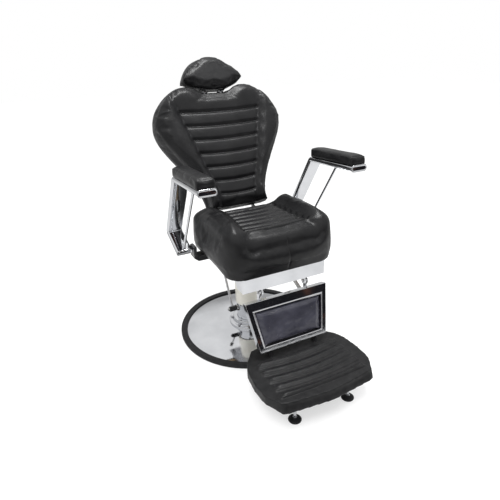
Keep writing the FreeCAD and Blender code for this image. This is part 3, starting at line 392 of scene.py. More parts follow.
def select_vertices(piece: Piece, test: VertexTest) -> None:
    """In edit mode, select the vertices that pass a test, and what they span.

    Args:
        piece: the object in edit mode.
        test: takes a vertex's place.
    """
    bpy.ops.mesh.select_mode(type="VERT")
    bpy.ops.mesh.select_all(action="DESELECT")
    mesh = bmesh.from_edit_mesh(piece.data)
    for vertex in mesh.verts:
        vertex.select = test(vertex.co)
    mesh.select_flush(True)
    bmesh.update_edit_mesh(piece.data)


def apply_modifier(piece: Piece, kind: str, **settings: object) -> None:
    """Add a modifier, set it and apply it.

    Args:
        piece: the object.
        kind: the modifier's type.
        settings: the modifier's properties.
    """
    activate(piece)
    modifier = piece.modifiers.new(kind.lower(), kind)
    for name, value in settings.items():
        setattr(modifier, name, value)
    bpy.ops.object.modifier_apply(modifier=modifier.name)


def smooth(piece: Piece, degrees: float = 32.0) -> None:
    """Shade smooth, with sharp edges over an angle."""
    activate(piece)
    bpy.ops.object.shade_smooth_by_angle(angle=math.radians(degrees))


def place_piece(piece: Piece, matrix: Matrix) -> None:
    """Move the mesh by a matrix, leaving the object at the origin."""
    activate(piece)
    piece.matrix_world = matrix
    bpy.ops.object.transform_apply(location=True, rotation=True, scale=True)


def traced(name: str, points: Sequence[Point]) -> Piece:
    """A polyline made by extruding one vertex from point to point.

    Args:
        name: the piece's name.
        points: the corners of the line.

    Returns:
        The object, in edit mode with all of it selected.
    """
    piece = start_piece(name, bpy.ops.mesh.primitive_plane_add, size=0.01, location=points[0])
    set_mode("EDIT")
    bpy.ops.mesh.select_all(action="SELECT")
    bpy.ops.mesh.merge(type="CENTER")
    for before, after in zip(points, points[1:]):
        step = Vector(after) - Vector(before)
        bpy.ops.mesh.extrude_region_move(TRANSFORM_OT_translate={"value": step[:]})
    bpy.ops.mesh.select_all(action="SELECT")
    return piece


def rounded(points: Sequence[Flat], radius: float | Sequence[float], steps: int = 4,
            closed: bool = True) -> list[Flat]:
    """Round the corners of an outline.

    Args:
        points: the outline's corners.
        radius: one radius, or one for each corner.
        steps: runs in each rounded corner.
        closed: whether the last corner joins the first.

    Returns:
        The outline with its corners rounded.
    """
    radii = list(radius) if isinstance(radius, Sequence) else [radius] * len(points)
    result: list[Flat] = []
    count = len(points)
    for index, corner in enumerate(points):
        if radii[index] <= 0 or (not closed and index in (0, count - 1)):
            result.append(tuple(corner))
            continue
        here = Vector(corner)
        back = Vector(points[index - 1]) - here
        ahead = Vector(points[(index + 1) % count]) - here
        half = back.angle(ahead) / 2
        reach = min(radii[index] / math.tan(half), back.length * CORNER_REACH, ahead.length * CORNER_REACH)
        start, end = here + back.normalized() * reach, here + ahead.normalized() * reach
        for step in range(steps + 1):
            share = step / steps
            bend = start * (1 - share) ** 2 + here * 2 * share * (1 - share) + end * share ** 2
            result.append(tuple(bend))
    return result


def spun(name: str, profile: Sequence[Flat], at: Point = (0, 0, 0), axis: Point = (0, 0, 1),
         steps: int = 64, closed: bool = True) -> Piece:
    """A turned piece: a profile spun round an axis.

    Args:
        name: the piece's name.
        profile: (radius, distance along the axis) pairs.
        at: where the axis starts.
        axis: the axis's direction.
        steps: segments round.
        closed: whether the profile's last point joins its first.

    Returns:
        The piece, in object mode.
    """
    along = Vector(axis).normalized()
    outward = along.orthogonal().normalized()
    points = [tuple(Vector(at) + outward * radius + along * high) for radius, high in profile]
    if closed:
        points.append(points[0])
    piece = traced(name, points)
    bpy.ops.mesh.spin(steps=steps, angle=2 * math.pi, center=at, axis=along[:])
    bpy.ops.mesh.select_all(action="SELECT")
    bpy.ops.mesh.remove_doubles(threshold=MERGE_GAP)
    bpy.ops.mesh.dissolve_degenerate(threshold=DEGENERATE_GAP)
    bpy.ops.mesh.select_all(action="SELECT")
    bpy.ops.mesh.normals_make_consistent(inside=False)
    set_mode("OBJECT")
    smooth(piece)
    return piece


def joined(name: str, pieces: Iterable[Piece]) -> Piece:
    """Join several objects into one piece."""
    parts = list(pieces)
    activate(parts[0])
    for part in parts:
        part.select_set(True)
    bpy.ops.object.join()
    parts[0].name = name
    parts[0].data.name = name
    return parts[0]


def deliver(piece: Piece, body: str, finish: Finish, *nodes: str) -> Piece:
    """Dress a finished piece, let it ride on its body and hide what it stands for.

    Args:
        piece: the finished piece.
        body: the body it rides on.
        finish: its finish.
        nodes: the CAD nodes that it replaces.

    Returns:
        The piece.
    """
    piece.data.materials.clear()
    piece.data.materials.append(finish.material())
    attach(piece, body)
    if nodes:
        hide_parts(*nodes)
    log.info("%-22s %6d faces on %s", piece.name, len(piece.data.polygons), body)
    return piece


def dress(finish: Finish, *names: str, edge: float = 0.0005) -> None:
    """Give CAD nodes a finish and broken edges.

    Args:
        finish: the finish.
        names: the nodes.
        edge: how wide the broken edges are.
    """
    for name in names:
        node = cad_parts[name]
        node.data.materials.clear()
        node.data.materials.append(finish.material())
        weld = node.modifiers.new("weld", "WELD")
        weld.merge_threshold = WELD_GAP
        if edge:
            bevel = node.modifiers.new("broken_edges", "BEVEL")
            bevel.width = edge
            bevel.segments = 2
            bevel.limit_method = "ANGLE"
            bevel.angle_limit = math.radians(BROKEN_EDGE_ANGLE)
            bevel.harden_normals = False
        log.info("%-22s kept from the frame", name)


# ------------------------------------------------------------------ upholstery

def ramp(value: np.ndarray, start: float, end: float) -> np.ndarray:
    """A smooth step from 0 at start to 1 at end."""
    share = np.clip((value - start) / (end - start), 0.0, 1.0)
    return share * share * (3 - 2 * share)


def groove(distance: np.ndarray, width: float) -> np.ndarray:
    """A rounded furrow: 1 on the line, fading over a width."""
    return np.exp(-(distance / width) ** 2)


def wobble(points: np.ndarray, fineness: float, seed: float = 0.0) -> np.ndarray:
    """Smooth noise at each point, from about -1 to 1.

    Args:
        points: places, one a row.
        fineness: how fine the noise is, per metre.
        seed: shifts the pattern.

    Returns:
        One value for each point.
    """
    return np.array([noise.noise(Vector((x * fineness + seed, y * fineness, z * fineness)))
                     for x, y, z in points])


def read_mesh(piece: Piece) -> tuple[np.ndarray, np.ndarray]:
    """The places and normals of a mesh's vertices."""
    mesh = piece.data
    places = np.zeros(len(mesh.vertices) * 3)
    mesh.vertices.foreach_get("co", places)
    normals = np.zeros(len(mesh.vertices) * 3)
    mesh.vertex_normals.foreach_get("vector", normals)
    return places.reshape(-1, 3), normals.reshape(-1, 3)


def write_mesh(piece: Piece, places: np.ndarray) -> None:
    """Put new places back in a mesh."""
    piece.data.vertices.foreach_set("co", places.ravel())
    piece.data.update()


def copied(name: str, nodes: Iterable[str]) -> Piece:
    """Copy CAD nodes' meshes into one merged piece.

    Args:
        name: the piece's name.
        nodes: the nodes to copy.

    Returns:
        The piece, in object mode.
    """
    copies = []
    for node in nodes:
        copy = bpy.data.objects.new(name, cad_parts[node].data.copy())
        bpy.context.scene.collection.objects.link(copy)
        copies.append(copy)
    piece = joined(name, copies)
    set_mode("EDIT")
    bpy.ops.mesh.select_all(action="SELECT")
    bpy.ops.mesh.remove_doubles(threshold=MERGE_GAP)
    set_mode("OBJECT")
    return piece


@dataclass
class Cushion:
    """A padded piece: a node's shape remeshed, softened and swelled as cloth."""

    name: str
    nodes: tuple[str, ...]
    voxel: float
    softening: int
    cap: float
    shrink: float
    pressure: float = 4.0
    held: PlaceTest | None = None

    def make(self) -> Piece:
        """Build the swelled cushion.

        Returns:
            The cushion with one subdivision, ready for its seams.
        """
        piece = copied(self.name, self.nodes)
        apply_modifier(piece, "REMESH", mode="VOXEL", voxel_size=self.voxel)
        apply_modifier(piece, "SMOOTH", factor=0.5, iterations=self.softening)
        places, normals = read_mesh(piece)
        write_mesh(piece, places - normals * self.shrink)
        self.swell(piece)
        apply_modifier(piece, "SUBSURF", levels=1, render_levels=1)
        return piece

    def upholster(self, shape: Shaper) -> Piece:
        """Args:
            shape: takes places and normals, and gives new places.

        Returns:
            The finished pad.
        """
        piece = self.make()
        write_mesh(piece, shape(*read_mesh(piece)))
        activate(piece)
        bpy.ops.object.shade_smooth()
        return piece

    def swell(self, piece: Piece) -> None:
        """Let the cover swell under pressure, then cap how far each point went.

        Args:
            piece: the remeshed cushion.
        """
        scene = bpy.context.scene
        start, _ = read_mesh(piece)
        cloth = piece.modifiers.new("swelling", "CLOTH")
        settings = cloth.settings
        settings.quality = CLOTH_QUALITY
        settings.mass = CLOTH_MASS
        settings.use_pressure = True
        settings.uniform_pressure_force = self.pressure
        settings.effector_weights.gravity = 0.0
        settings.tension_stiffness = CLOTH_STIFFNESS
        settings.compression_stiffness = CLOTH_STIFFNESS
        settings.bending_stiffness = CLOTH_BENDING
        cloth.collision_settings.use_collision = False
        if self.held:
            group = piece.vertex_groups.new(name="held")
            fixed = np.nonzero(self.held(start))[0]
            group.add([int(index) for index in fixed], 1.0, "REPLACE")
            settings.vertex_group_mass = "held"
        for moment in range(1, CLOTH_FRAMES + 1):
            scene.frame_set(moment)
        depsgraph = bpy.context.evaluated_depsgraph_get()
        swelled = piece.evaluated_get(depsgraph).data
        moved = np.zeros(len(swelled.vertices) * 3)
        swelled.vertices.foreach_get("co", moved)
        step = moved.reshape(-1, 3) - start
        length = np.linalg.norm(step, axis=1, keepdims=True)
        step *= np.minimum(1.0, self.cap / np.maximum(length, 1e-9))
        piece.modifiers.remove(cloth)
        scene.frame_set(1)
        write_mesh(piece, start + step)
        apply_modifier(piece, "SMOOTH", factor=0.5, iterations=2)


# ------------------------------------------------------------------ round base

@dataclass
class RoundBase:
    """Rubber-edged disc with a polished dome and the pump's flange."""

    radius: float = 0.350
    rim: float = 0.030
    rim_high: float = 0.020
    gap: float = 0.001
    dome_low: float = 0.0105
    dome_high: float = 0.034
    dome_thick: float = 0.0025
    dome_runs: int = 24
    flange: float = 0.100
    flange_low: float = 0.008
    flange_rise: float = 0.009
    collar: float = 0.080
    collar_rise: float = 0.032
    bore: float = 0.0592

    def build(self) -> None:
        """Build and dress the base."""
        inner = self.radius - self.rim
        rim = rounded([(inner, 0.0), (self.radius, 0.0), (self.radius, self.rim_high),
                       (inner, self.rim_high - 0.003)], [0.001, 0.005, 0.011, 0.003], 5)
        deliver(spun("edge_rubber", rim, steps=128), "base", RUBBER, "base_rim")
        deliver(self.dome(), "base", CHROME, "base_cover")
        step, top = self.dome_high + self.flange_rise, self.dome_high + self.collar_rise
        flange = rounded([(self.bore, self.flange_low), (self.flange, self.flange_low), (self.flange, step),
                          (self.collar, step), (self.collar, top), (self.bore, top)],
                         [0, 0, 0.004, 0.006, 0.005, 0.002], 4)
        deliver(spun("pump_seat_flange", flange, steps=96), "base", CHROME, "pump_flange")
        dress(STEEL, "flange_bolts", "base_plate", edge=0.0006)
        dress(BRASS, "thrust_washer", edge=0.0)

    def dome(self) -> Piece:
        """The polished cover: a thin dome that rises to the flange."""
        outer, inner = self.radius - self.rim - self.gap, self.flange
        upper = []
        for index in range(self.dome_runs + 1):
            share = index / self.dome_runs
            radius = outer + (inner - outer) * share
            rise = math.sin(min(1.0, share * 1.02) * math.pi / 2) ** 0.9
            upper.append((radius, self.dome_low + (self.dome_high - self.dome_low) * rise))
        lower = [(radius, high - self.dome_thick) for radius, high in reversed(upper)]
        return spun("polished_dome", upper + lower, steps=128)


# ------------------------------------------------------------------ pump and its lever

@dataclass
class Pump:
    """The chromed barrel with the lever's boss, and the ram that it lifts."""

    radius: float = 0.059
    low: float = 0.011
    top: float = 0.330
    bore: float = 0.042
    sole: float = 0.046
    lever_high: float = 0.122
    boss_start: float = 0.050
    boss_end: float = 0.070
    boss_radius: float = 0.017
    ram_radius: float = 0.024
    ram_low: float = 0.080
    ram_top: float = 0.405

    def build(self) -> None:
        """Build and dress the pump."""
        floor = self.low + self.sole
        barrel = rounded([(0.0, self.low), (self.radius, self.low), (self.radius, self.top),
                          (self.bore, self.top), (self.bore, floor), (0.0, floor)],
                         [0, 0.001, 0.003, 0.001, 0, 0], 3)
        deliver(spun("pump_cylinder", barrel, steps=96, closed=False), "pump", CHROME, "pump_barrel")
        boss = rounded([(0.0, self.boss_start), (0.0185, self.boss_start), (self.boss_radius, 0.058),
                        (self.boss_radius, self.boss_end), (0.0, self.boss_end)], [0, 0, 0.003, 0.0015, 0], 3)
        deliver(spun("lever_stub", boss, (0, 0, self.lever_high), (-1, 0, 0), 48, False), "pump", CHROME,
                "lever_boss")
        dress(BRASS, "gland_ring", edge=0.0)
        dress(CHROME, "lever_pin", "lever_nut", edge=0.0006)
        ram = rounded([(0.0, self.ram_low), (self.ram_radius, self.ram_low), (self.ram_radius, self.ram_top),
                       (0.0, self.ram_top)], [0, 0.002, 0, 0], 3)
        deliver(spun("lifting_ram", ram, steps=64, closed=False), "chair", CHROME, "ram")
        dress(STEEL, "ram_piston", edge=0.0)


@dataclass
class PumpLever:
    """The leaning rod that works the pump, with its hub and rubber grip."""

    hub_x: float = -0.088
    high: float = 0.122
    lean: float = 28.6
    length: float = 0.300
    grip: float = 0.095
    eye: float = 0.00505
    hub: float = 0.0135
    hub_half: float = 0.017
    rod: float = 0.0055
    bore: float = 0.0056
    ribs: int = 9

    @property
    def axis(self) -> Point:
        """Direction of the rod, up and to the rear."""
        return (0.0, math.sin(math.radians(self.lean)), math.cos(math.radians(self.lean)))

    def build(self) -> None:
        """Build and dress the lever."""
        at = (self.hub_x, 0.0, self.high)
        hub = rounded([(self.eye, -self.hub_half), (self.hub, -self.hub_half), (self.hub, self.hub_half),
                       (self.eye, self.hub_half)], [0, 0.002, 0.002, 0], 3)
        deliver(spun("lever_eye", hub, at, (1, 0, 0), 48), "lever", BLACK_PAINT, "lever_hub")
        rod = rounded([(0.0, 0.012), (0.0075, 0.012), (self.rod, 0.024), (self.rod, self.length),
                       (0.0, self.length)], [0, 0, 0.002, 0.001, 0], 3)
        deliver(spun("lever_rod", rod, at, self.axis, 32, False), "lever", STEEL, "pump_lever")
        deliver(spun("lever_grip_sleeve", self.sleeve(), at, self.axis, 40), "lever", RUBBER, "lever_grip")

    def sleeve(self) -> list[Flat]:
        """The ribbed grip's profile, closed over the rod's end."""
        start = self.length - self.grip
        outline = [(self.bore, start), (0.0088, start)]
        for index in range(self.ribs):
            low = start + 0.006 + index * (self.grip - 0.014) / self.ribs
            outline += [(0.0108, low + 0.001), (0.0108, low + 0.0055), (0.0097, low + 0.0068),
                        (0.0097, low + 0.0082)]
        return outline + [(0.0105, self.length - 0.002), (0.0085, self.length + 0.003),
                          (0.0, self.length + 0.0038), (0.0, self.length + 0.0002),
                          (self.bore, self.length + 0.0002)]


# ------------------------------------------------------------------ seat and what carries it

@dataclass
class Underframe:
    """Mount plate, rails, shroud and chromed apron below the seat."""

    shroud: float = 0.065
    wall: float = 0.004
    low: float = 0.150
    top: float = 0.405

    def build(self) -> None:
        """Build and dress the underframe."""
        inner = self.shroud - self.wall
        sleeve = rounded([(inner, self.low), (self.shroud, self.low), (self.shroud, self.top),
                          (inner, self.top)], [0.001, 0.0018, 0, 0], 3)
        deliver(spun("column_sleeve", sleeve, steps=96), "chair", CREAM_PAINT, "column_shroud")
        dress(BLACK_PAINT, "seat_rails", "arm_brackets", edge=0.0012)
        dress(STEEL, "mount_plate", "rail_bolts", "arm_bolts", "spring_anchor", edge=0.0006)
        dress(PLYWOOD, "seat_board", edge=0.0015)
        dress(CHROME, "apron", edge=0.0008)


@dataclass
class SeatCushion:
    """Deep seat with raised sides, a channelled centre and a rolled front."""

    back: float = 0.037
    bottom: float = 0.495
    top: float = 0.665
    channel_pitch: float = 0.041
    channel_count: int = 8
    channel_front: float = -0.288
    seam_y: tuple[float, ...] = (-0.32, -0.27, -0.16, 0.045)
    seam_x: tuple[float, ...] = (0.150, 0.142, 0.128, 0.112)
    crest_y: tuple[float, ...] = (-0.40, -0.372, -0.33, -0.25, -0.12, -0.03, 0.03, 0.06)
    crest_z: tuple[float, ...] = (0.646, 0.656, 0.674, 0.690, 0.692, 0.676, 0.660, 0.656)

    def build(self) -> None:
        """Build, swell, seam and dress the seat."""
        pad = Cushion("seat_pad", ("seat_cushion",), voxel=0.0065, softening=12, cap=0.012, shrink=0.001,
                      held=lambda places: places[:, 2] < self.bottom + 0.012)
        deliver(pad.upholster(self.shaped), "chair", BLACK_LEATHER, "seat_cushion")

    def shaped(self, places: np.ndarray, normals: np.ndarray) -> np.ndarray:
        """Raise the sides, sink the centre and sew the channels.

        Args:
            places: the swelled cushion's vertices.
            normals: their normals.

        Returns:
            The new places.
        """
        x, y, z = places.T
        across = np.abs(x)
        upper = ramp(z, 0.560, 0.640)
        facing = ramp(normals[:, 2], 0.15, 0.75) * ramp(z, 0.600, 0.640)
        seam = np.interp(y, self.seam_y, self.seam_x)
        crest = np.interp(y, self.crest_y, self.crest_z)
        floor = 0.640 + 0.010 * ramp(-y, 0.24, 0.34) + 0.012 * ramp(y, -0.06, 0.02)
        floor -= 0.012 * groove(across - 0.150, 0.05) * ramp(-y, 0.33, 0.37)
        rise = ramp(across, seam - 0.010, np.maximum(seam + 0.055, 0.195))
        target = floor + (crest - floor) * rise
        new_z = z + upper * (target - self.top)

        border = y - self.channel_front + 0.010 * (1 - (across / 0.15) ** 2)
        phase = border / self.channel_pitch
        within = (phase > -0.5) & (phase < self.channel_count + 0.5)
        share = np.abs((phase + 0.5) % 1.0 - 0.5)
        inside = ramp(seam - across, -0.002, 0.010) * within
        channels = -0.0065 * np.exp(-(share / 0.16) ** 2) * inside
        scallop = seam + 0.003 * np.cos(2 * np.pi * phase)
        channels -= 0.0075 * groove(across - scallop, 0.0045) * ramp(phase, -0.3, 0.1)
        channels -= 0.0050 * groove(border, 0.0045) * ramp(seam - across, -0.004, 0.004)
        new_z += facing * channels

        front_face = ramp(-normals[:, 1], 0.5, 0.9) * ramp(0.645 - z, 0.0, 0.02) * ramp(z, 0.500, 0.515)
        middle_seam = 0.0028 * groove(x - 0.012, 0.0035) * front_face
        belly = 0.006 * groove(z - 0.575, 0.05) * ramp(-normals[:, 1], 0.2, 0.8)
        tuck = 0.007 * ramp(0.530 - z, 0.0, 0.035)
        rim = np.maximum(ramp(across, 0.195, 0.232), ramp(-y, 0.315, 0.352))
        new_z -= (0.011 + 0.008 * ramp(-y, 0.20, 0.34)) * ramp(0.520 - z, 0.0, 0.022) * rim
        new_x = x - np.sign(x) * tuck * ramp(across, 0.12, 0.22)
        new_y = y + middle_seam - belly + 0.35 * tuck * ramp(-y, 0.25, 0.34)
        new_x += np.sign(x) * 0.005 * ramp(y, -0.16, 0.0) * ramp(across, 0.15, 0.24)
        new_y += 0.004 * ramp(y, 0.0, self.back) * ramp(z, 0.58, 0.64) * (1 - ramp(across, 0.13, 0.17))
        new_y += 0.010 * ramp(y, 0.0, self.back) * ramp(across, 0.17, 0.20)
        creases = 0.0016 * wobble(places, 9.0) + 0.0006 * wobble(places, 34.0, 3.0)
        result = np.column_stack([new_x, new_y, new_z])
        return result + normals * (creases * ramp(z, 0.51, 0.54))[:, None]


# ------------------------------------------------------------------ arms

@dataclass
class Arm:
    """A bent flat-oval arm with a padded top, two end caps and a support rod."""

    side: Side
    x: float = 0.3185
    front: tuple[float, float] = (-0.383, 0.8627)
    lengths: tuple[float, float, float] = (0.2985, 0.3407, 0.1434)
    slopes: tuple[float, float, float] = (3.4, 57.7, 158.1)
    wide: float = 0.073
    thick: float = 0.022
    bend: float = 0.016
    rod_lean: float = 21.9
    rod_low: float = 0.010
    rod_top: float = 0.133
    rod_collar: float = 0.0125
    rod_gap: float = 0.004
    cap_thick: float = 0.0028
    cap_swell: float = 1.28
    cap_steps: tuple[Flat, ...] = ((0.0005, 0.0007), (0.0010, 0.0004), (0.0010, -0.0003),
                                   (0.0006, -0.0011), (0.0014, -0.0009), (0.0016, -0.0003))

    @property
    def across(self) -> float:
        """The arm's middle along X."""
        return self.side.value * self.x

    def corners(self) -> list[Flat]:
        """The centre line's corners as (y, z)."""
        line = [self.front]
        for length, slope in zip(self.lengths, self.slopes):
            y, z = line[-1]
            angle = math.radians(slope)
            line.append((y + length * math.cos(angle), z - length * math.sin(angle)))
        return line

    def build(self) -> None:
        """Build and dress the arm."""
        deliver(self.tube(), "chair", CHROME, f"arm_frame_{self.side.word}")
        self.pad()

    def tube(self) -> Piece:
        """The bent tube: a flat oval carried along the centre line."""
        line = rounded(self.corners(), self.bend, 5, closed=False)
        points = [Vector((self.across, y, z)) for y, z in line]
        headings = [(after - before).normalized() for before, after in zip(points, points[1:])]
        bends = [(one + two).normalized() for one, two in zip(headings, headings[1:])]
        tangents = [headings[0], *bends, headings[-1]]
        first = self.heading_angle(tangents[0])
        piece = start_piece(f"arm_tube_{self.side.word}", bpy.ops.mesh.primitive_circle_add, vertices=36,
                            radius=self.thick / 2, fill_type="NOTHING", location=points[0],
                            rotation=(first, 0, 0))
        set_mode("EDIT")
        self.widen(piece, self.across)
        for index in range(1, len(points)):
            step = points[index] - points[index - 1]
            bpy.ops.mesh.extrude_region_move(TRANSFORM_OT_translate={"value": step[:]})
            turn = self.heading_angle(tangents[index]) - self.heading_angle(tangents[index - 1])
            if abs(turn) > 1e-6:
                bpy.ops.transform.rotate(value=-turn, orient_axis="X", center_override=points[index][:])
        bpy.ops.mesh.select_mode(type="EDGE")
        bpy.ops.mesh.select_all(action="DESELECT")
        bpy.ops.mesh.select_non_manifold()
        bpy.ops.mesh.edge_face_add()
        bpy.ops.mesh.select_all(action="SELECT")
        bpy.ops.mesh.normals_make_consistent(inside=False)
        set_mode("OBJECT")
        smooth(piece, 40)
        return piece

    def widen(self, piece: Piece, middle: float) -> None:
        """Pull a ring's halves apart along X into a flat oval, and select it all.

        Args:
            piece: the ring, in edit mode.
            middle: the ring's middle along X.
        """
        reach = (self.wide - self.thick) / 2
        for sign in (-1, 1):
            select_vertices(piece, lambda place, sign=sign: sign * (place.x - middle) > 0.0005)
            bpy.ops.transform.translate(value=(sign * reach, 0, 0))
        bpy.ops.mesh.select_all(action="SELECT")

    @staticmethod
    def heading_angle(heading: Vector) -> float:
        """The turn about X that lays a ring square to a heading in the YZ plane."""
        return math.atan2(-heading.y, heading.z)

    def cap(self, name: str, at: tuple[float, float], heading: tuple[float, float]) -> Piece:
        """One bright end cap: an oval plate with a raised rim and a dished middle.

        Args:
            name: the piece's name.
            at: the tube end's (y, z).
            heading: the way that the cap faces, as (y, z).

        Returns:
            The cap in its place.
        """
        piece = start_piece(name, bpy.ops.mesh.primitive_circle_add, vertices=48, radius=self.thick / 2,
                            fill_type="NGON")
        set_mode("EDIT")
        self.widen(piece, 0.0)
        bpy.ops.mesh.extrude_region_move(TRANSFORM_OT_translate={"value": (0, 0, self.cap_thick)})
        for inset, rise in self.cap_steps:
            bpy.ops.mesh.inset(thickness=inset, depth=rise)
        bpy.ops.mesh.select_all(action="SELECT")
        bpy.ops.transform.resize(value=(1.0, self.cap_swell, 1.0), center_override=(0, 0, 0))
        bpy.ops.mesh.normals_make_consistent(inside=False)
        set_mode("OBJECT")
        smooth(piece, 50)
        outward = Vector((0, *heading)).normalized()
        sideways = Vector((1, 0, 0))
        matrix = Matrix((sideways, outward.cross(sideways), outward)).transposed().to_4x4()
        matrix.translation = Vector((self.across, *at))
        place_piece(piece, matrix)
        return piece

    def caps(self) -> list[Piece]:
        """The front and low end caps."""
        line = self.corners()
        ends = (("front", line[0], line[1]), ("low", line[3], line[2]))
        return [self.cap(f"{word}_cap_{self.side.word}", end, (end[0] - inner[0], end[1] - inner[1]))
                for word, end, inner in ends]

    def rod(self) -> Piece:
        """The thin support rod from the low arm up to the top arm."""
        line = self.corners()
        (front_y, front_z), (low_y, low_z) = line[0], line[3]
        slope, drop = math.radians(self.slopes[0]), math.radians(self.rod_lean)
        top = Vector((self.across, front_y + self.rod_top * math.cos(slope),
                      front_z - self.rod_top * math.sin(slope)))
        low = Vector((self.across, low_y + self.rod_low * math.cos(drop),
                      low_z + self.rod_low * math.sin(drop)))
        way = top - low
        collar, end = self.rod_collar, way.length - self.rod_gap
        profile = [(0.0, self.rod_gap), (0.0055, self.rod_gap), (0.0055, collar), (0.0075, collar + 0.001),
                   (0.0075, collar + 0.006), (0.0055, collar + 0.008), (0.0055, end), (0.0, end)]
        return spun(f"support_rod_{self.side.word}", profile, low[:], way[:], 32, False)

    def pad_axes(self) -> tuple[np.ndarray, np.ndarray, np.ndarray]:
        """Where the pad starts, the way along it and the way up from the tube."""
        slope = math.radians(self.slopes[0])
        along = np.array([0, math.cos(slope), -math.sin(slope)])
        upward = np.array([0, math.sin(slope), math.cos(slope)])
        return np.array([self.across, *self.front]) + upward * self.thick / 2, along, upward

    def pad(self) -> None:
        """Build, swell, seam and dress the padded top."""
        node = f"arm_pad_{self.side.word}"
        foot, _, upward = self.pad_axes()
        pad = Cushion(f"arm_cushion_{self.side.word}", (node,), voxel=0.0042, softening=5, cap=0.0035,
                      shrink=0.0012, held=lambda places: (places - foot) @ upward < 0.004)
        deliver(pad.upholster(self.shaped), "chair", BLACK_LEATHER, node)

    def shaped(self, places: np.ndarray, normals: np.ndarray) -> np.ndarray:
        """Crown the top and sew the seam and the welt.

        Args:
            places: the swelled pad's vertices.
            normals: their normals.

        Returns:
            The new places.
        """
        foot, along, upward = self.pad_axes()
        run, high, side = (places - foot) @ along, (places - foot) @ upward, places[:, 0] - self.across
        crown = 0.0045 * (1 - np.clip(np.abs(side) / 0.037, 0, 1) ** 2.5) * ramp(high, 0.018, 0.032)
        crown *= 1 - 0.7 * ramp(np.abs(run - 0.157), 0.10, 0.165)
        seam = 0.0016 * groove(run - 0.0115, 0.0022) * ramp(high, 0.002, 0.006)
        welt = -0.0014 * groove(high - 0.0275, 0.0016) * ramp(0.3 - np.abs(normals @ upward), 0.0, 0.2)
        places = places + upward * crown[:, None] - normals * seam[:, None]
        return places + normals * (welt + 0.0005 * wobble(places, 22.0))[:, None]


@dataclass
class Arms:
    """Both arms and what they share."""

    arms: tuple[Arm, Arm] = field(default_factory=lambda: (Arm(Side.RIGHT), Arm(Side.LEFT)))

    def build(self) -> None:
        """Build both arms, their end caps and their support rods."""
        for arm in self.arms:
            arm.build()
        caps = joined("arm_end_caps", [cap for arm in self.arms for cap in arm.caps()])
        deliver(caps, "chair", CHROME, "arm_caps")
        rods = joined("arm_support_rods", [arm.rod() for arm in self.arms])
        deliver(rods, "chair", CHROME, "support_rods")


# ------------------------------------------------------------------ back and headrest

@dataclass(frozen=True)
class LeaningPlane:
    """A plane that leans back: x across, up along it, and behind it."""

    origin: tuple[float, float]
    lean: float

    @property
    def upward(self) -> np.ndarray:
        """The way up along the plane."""
        angle = math.radians(self.lean)
        return np.array([0.0, math.sin(angle), math.cos(angle)])

    @property
    def behind(self) -> np.ndarray:
        """The way to the rear of the plane."""
        angle = math.radians(self.lean)
        return np.array([0.0, math.cos(angle), -math.sin(angle)])

    def split(self, places: np.ndarray) -> tuple[np.ndarray, np.ndarray, np.ndarray]:
        """Places as (x, up, behind)."""
        offset = places - np.array([0.0, *self.origin])
        return places[:, 0], offset @ self.upward, offset @ self.behind

    def point(self, x: float, up: float, behind: float) -> Point:
        """A world point from a place on the plane."""
        place = np.array([x, *self.origin]) + self.upward * up + self.behind * behind
        return tuple(float(number) for number in place)


BACK_PLANE = LeaningPlane((0.045, 0.650), 27.0)
LEG_PLANE = LeaningPlane((-0.380, 0.383), 17.68)


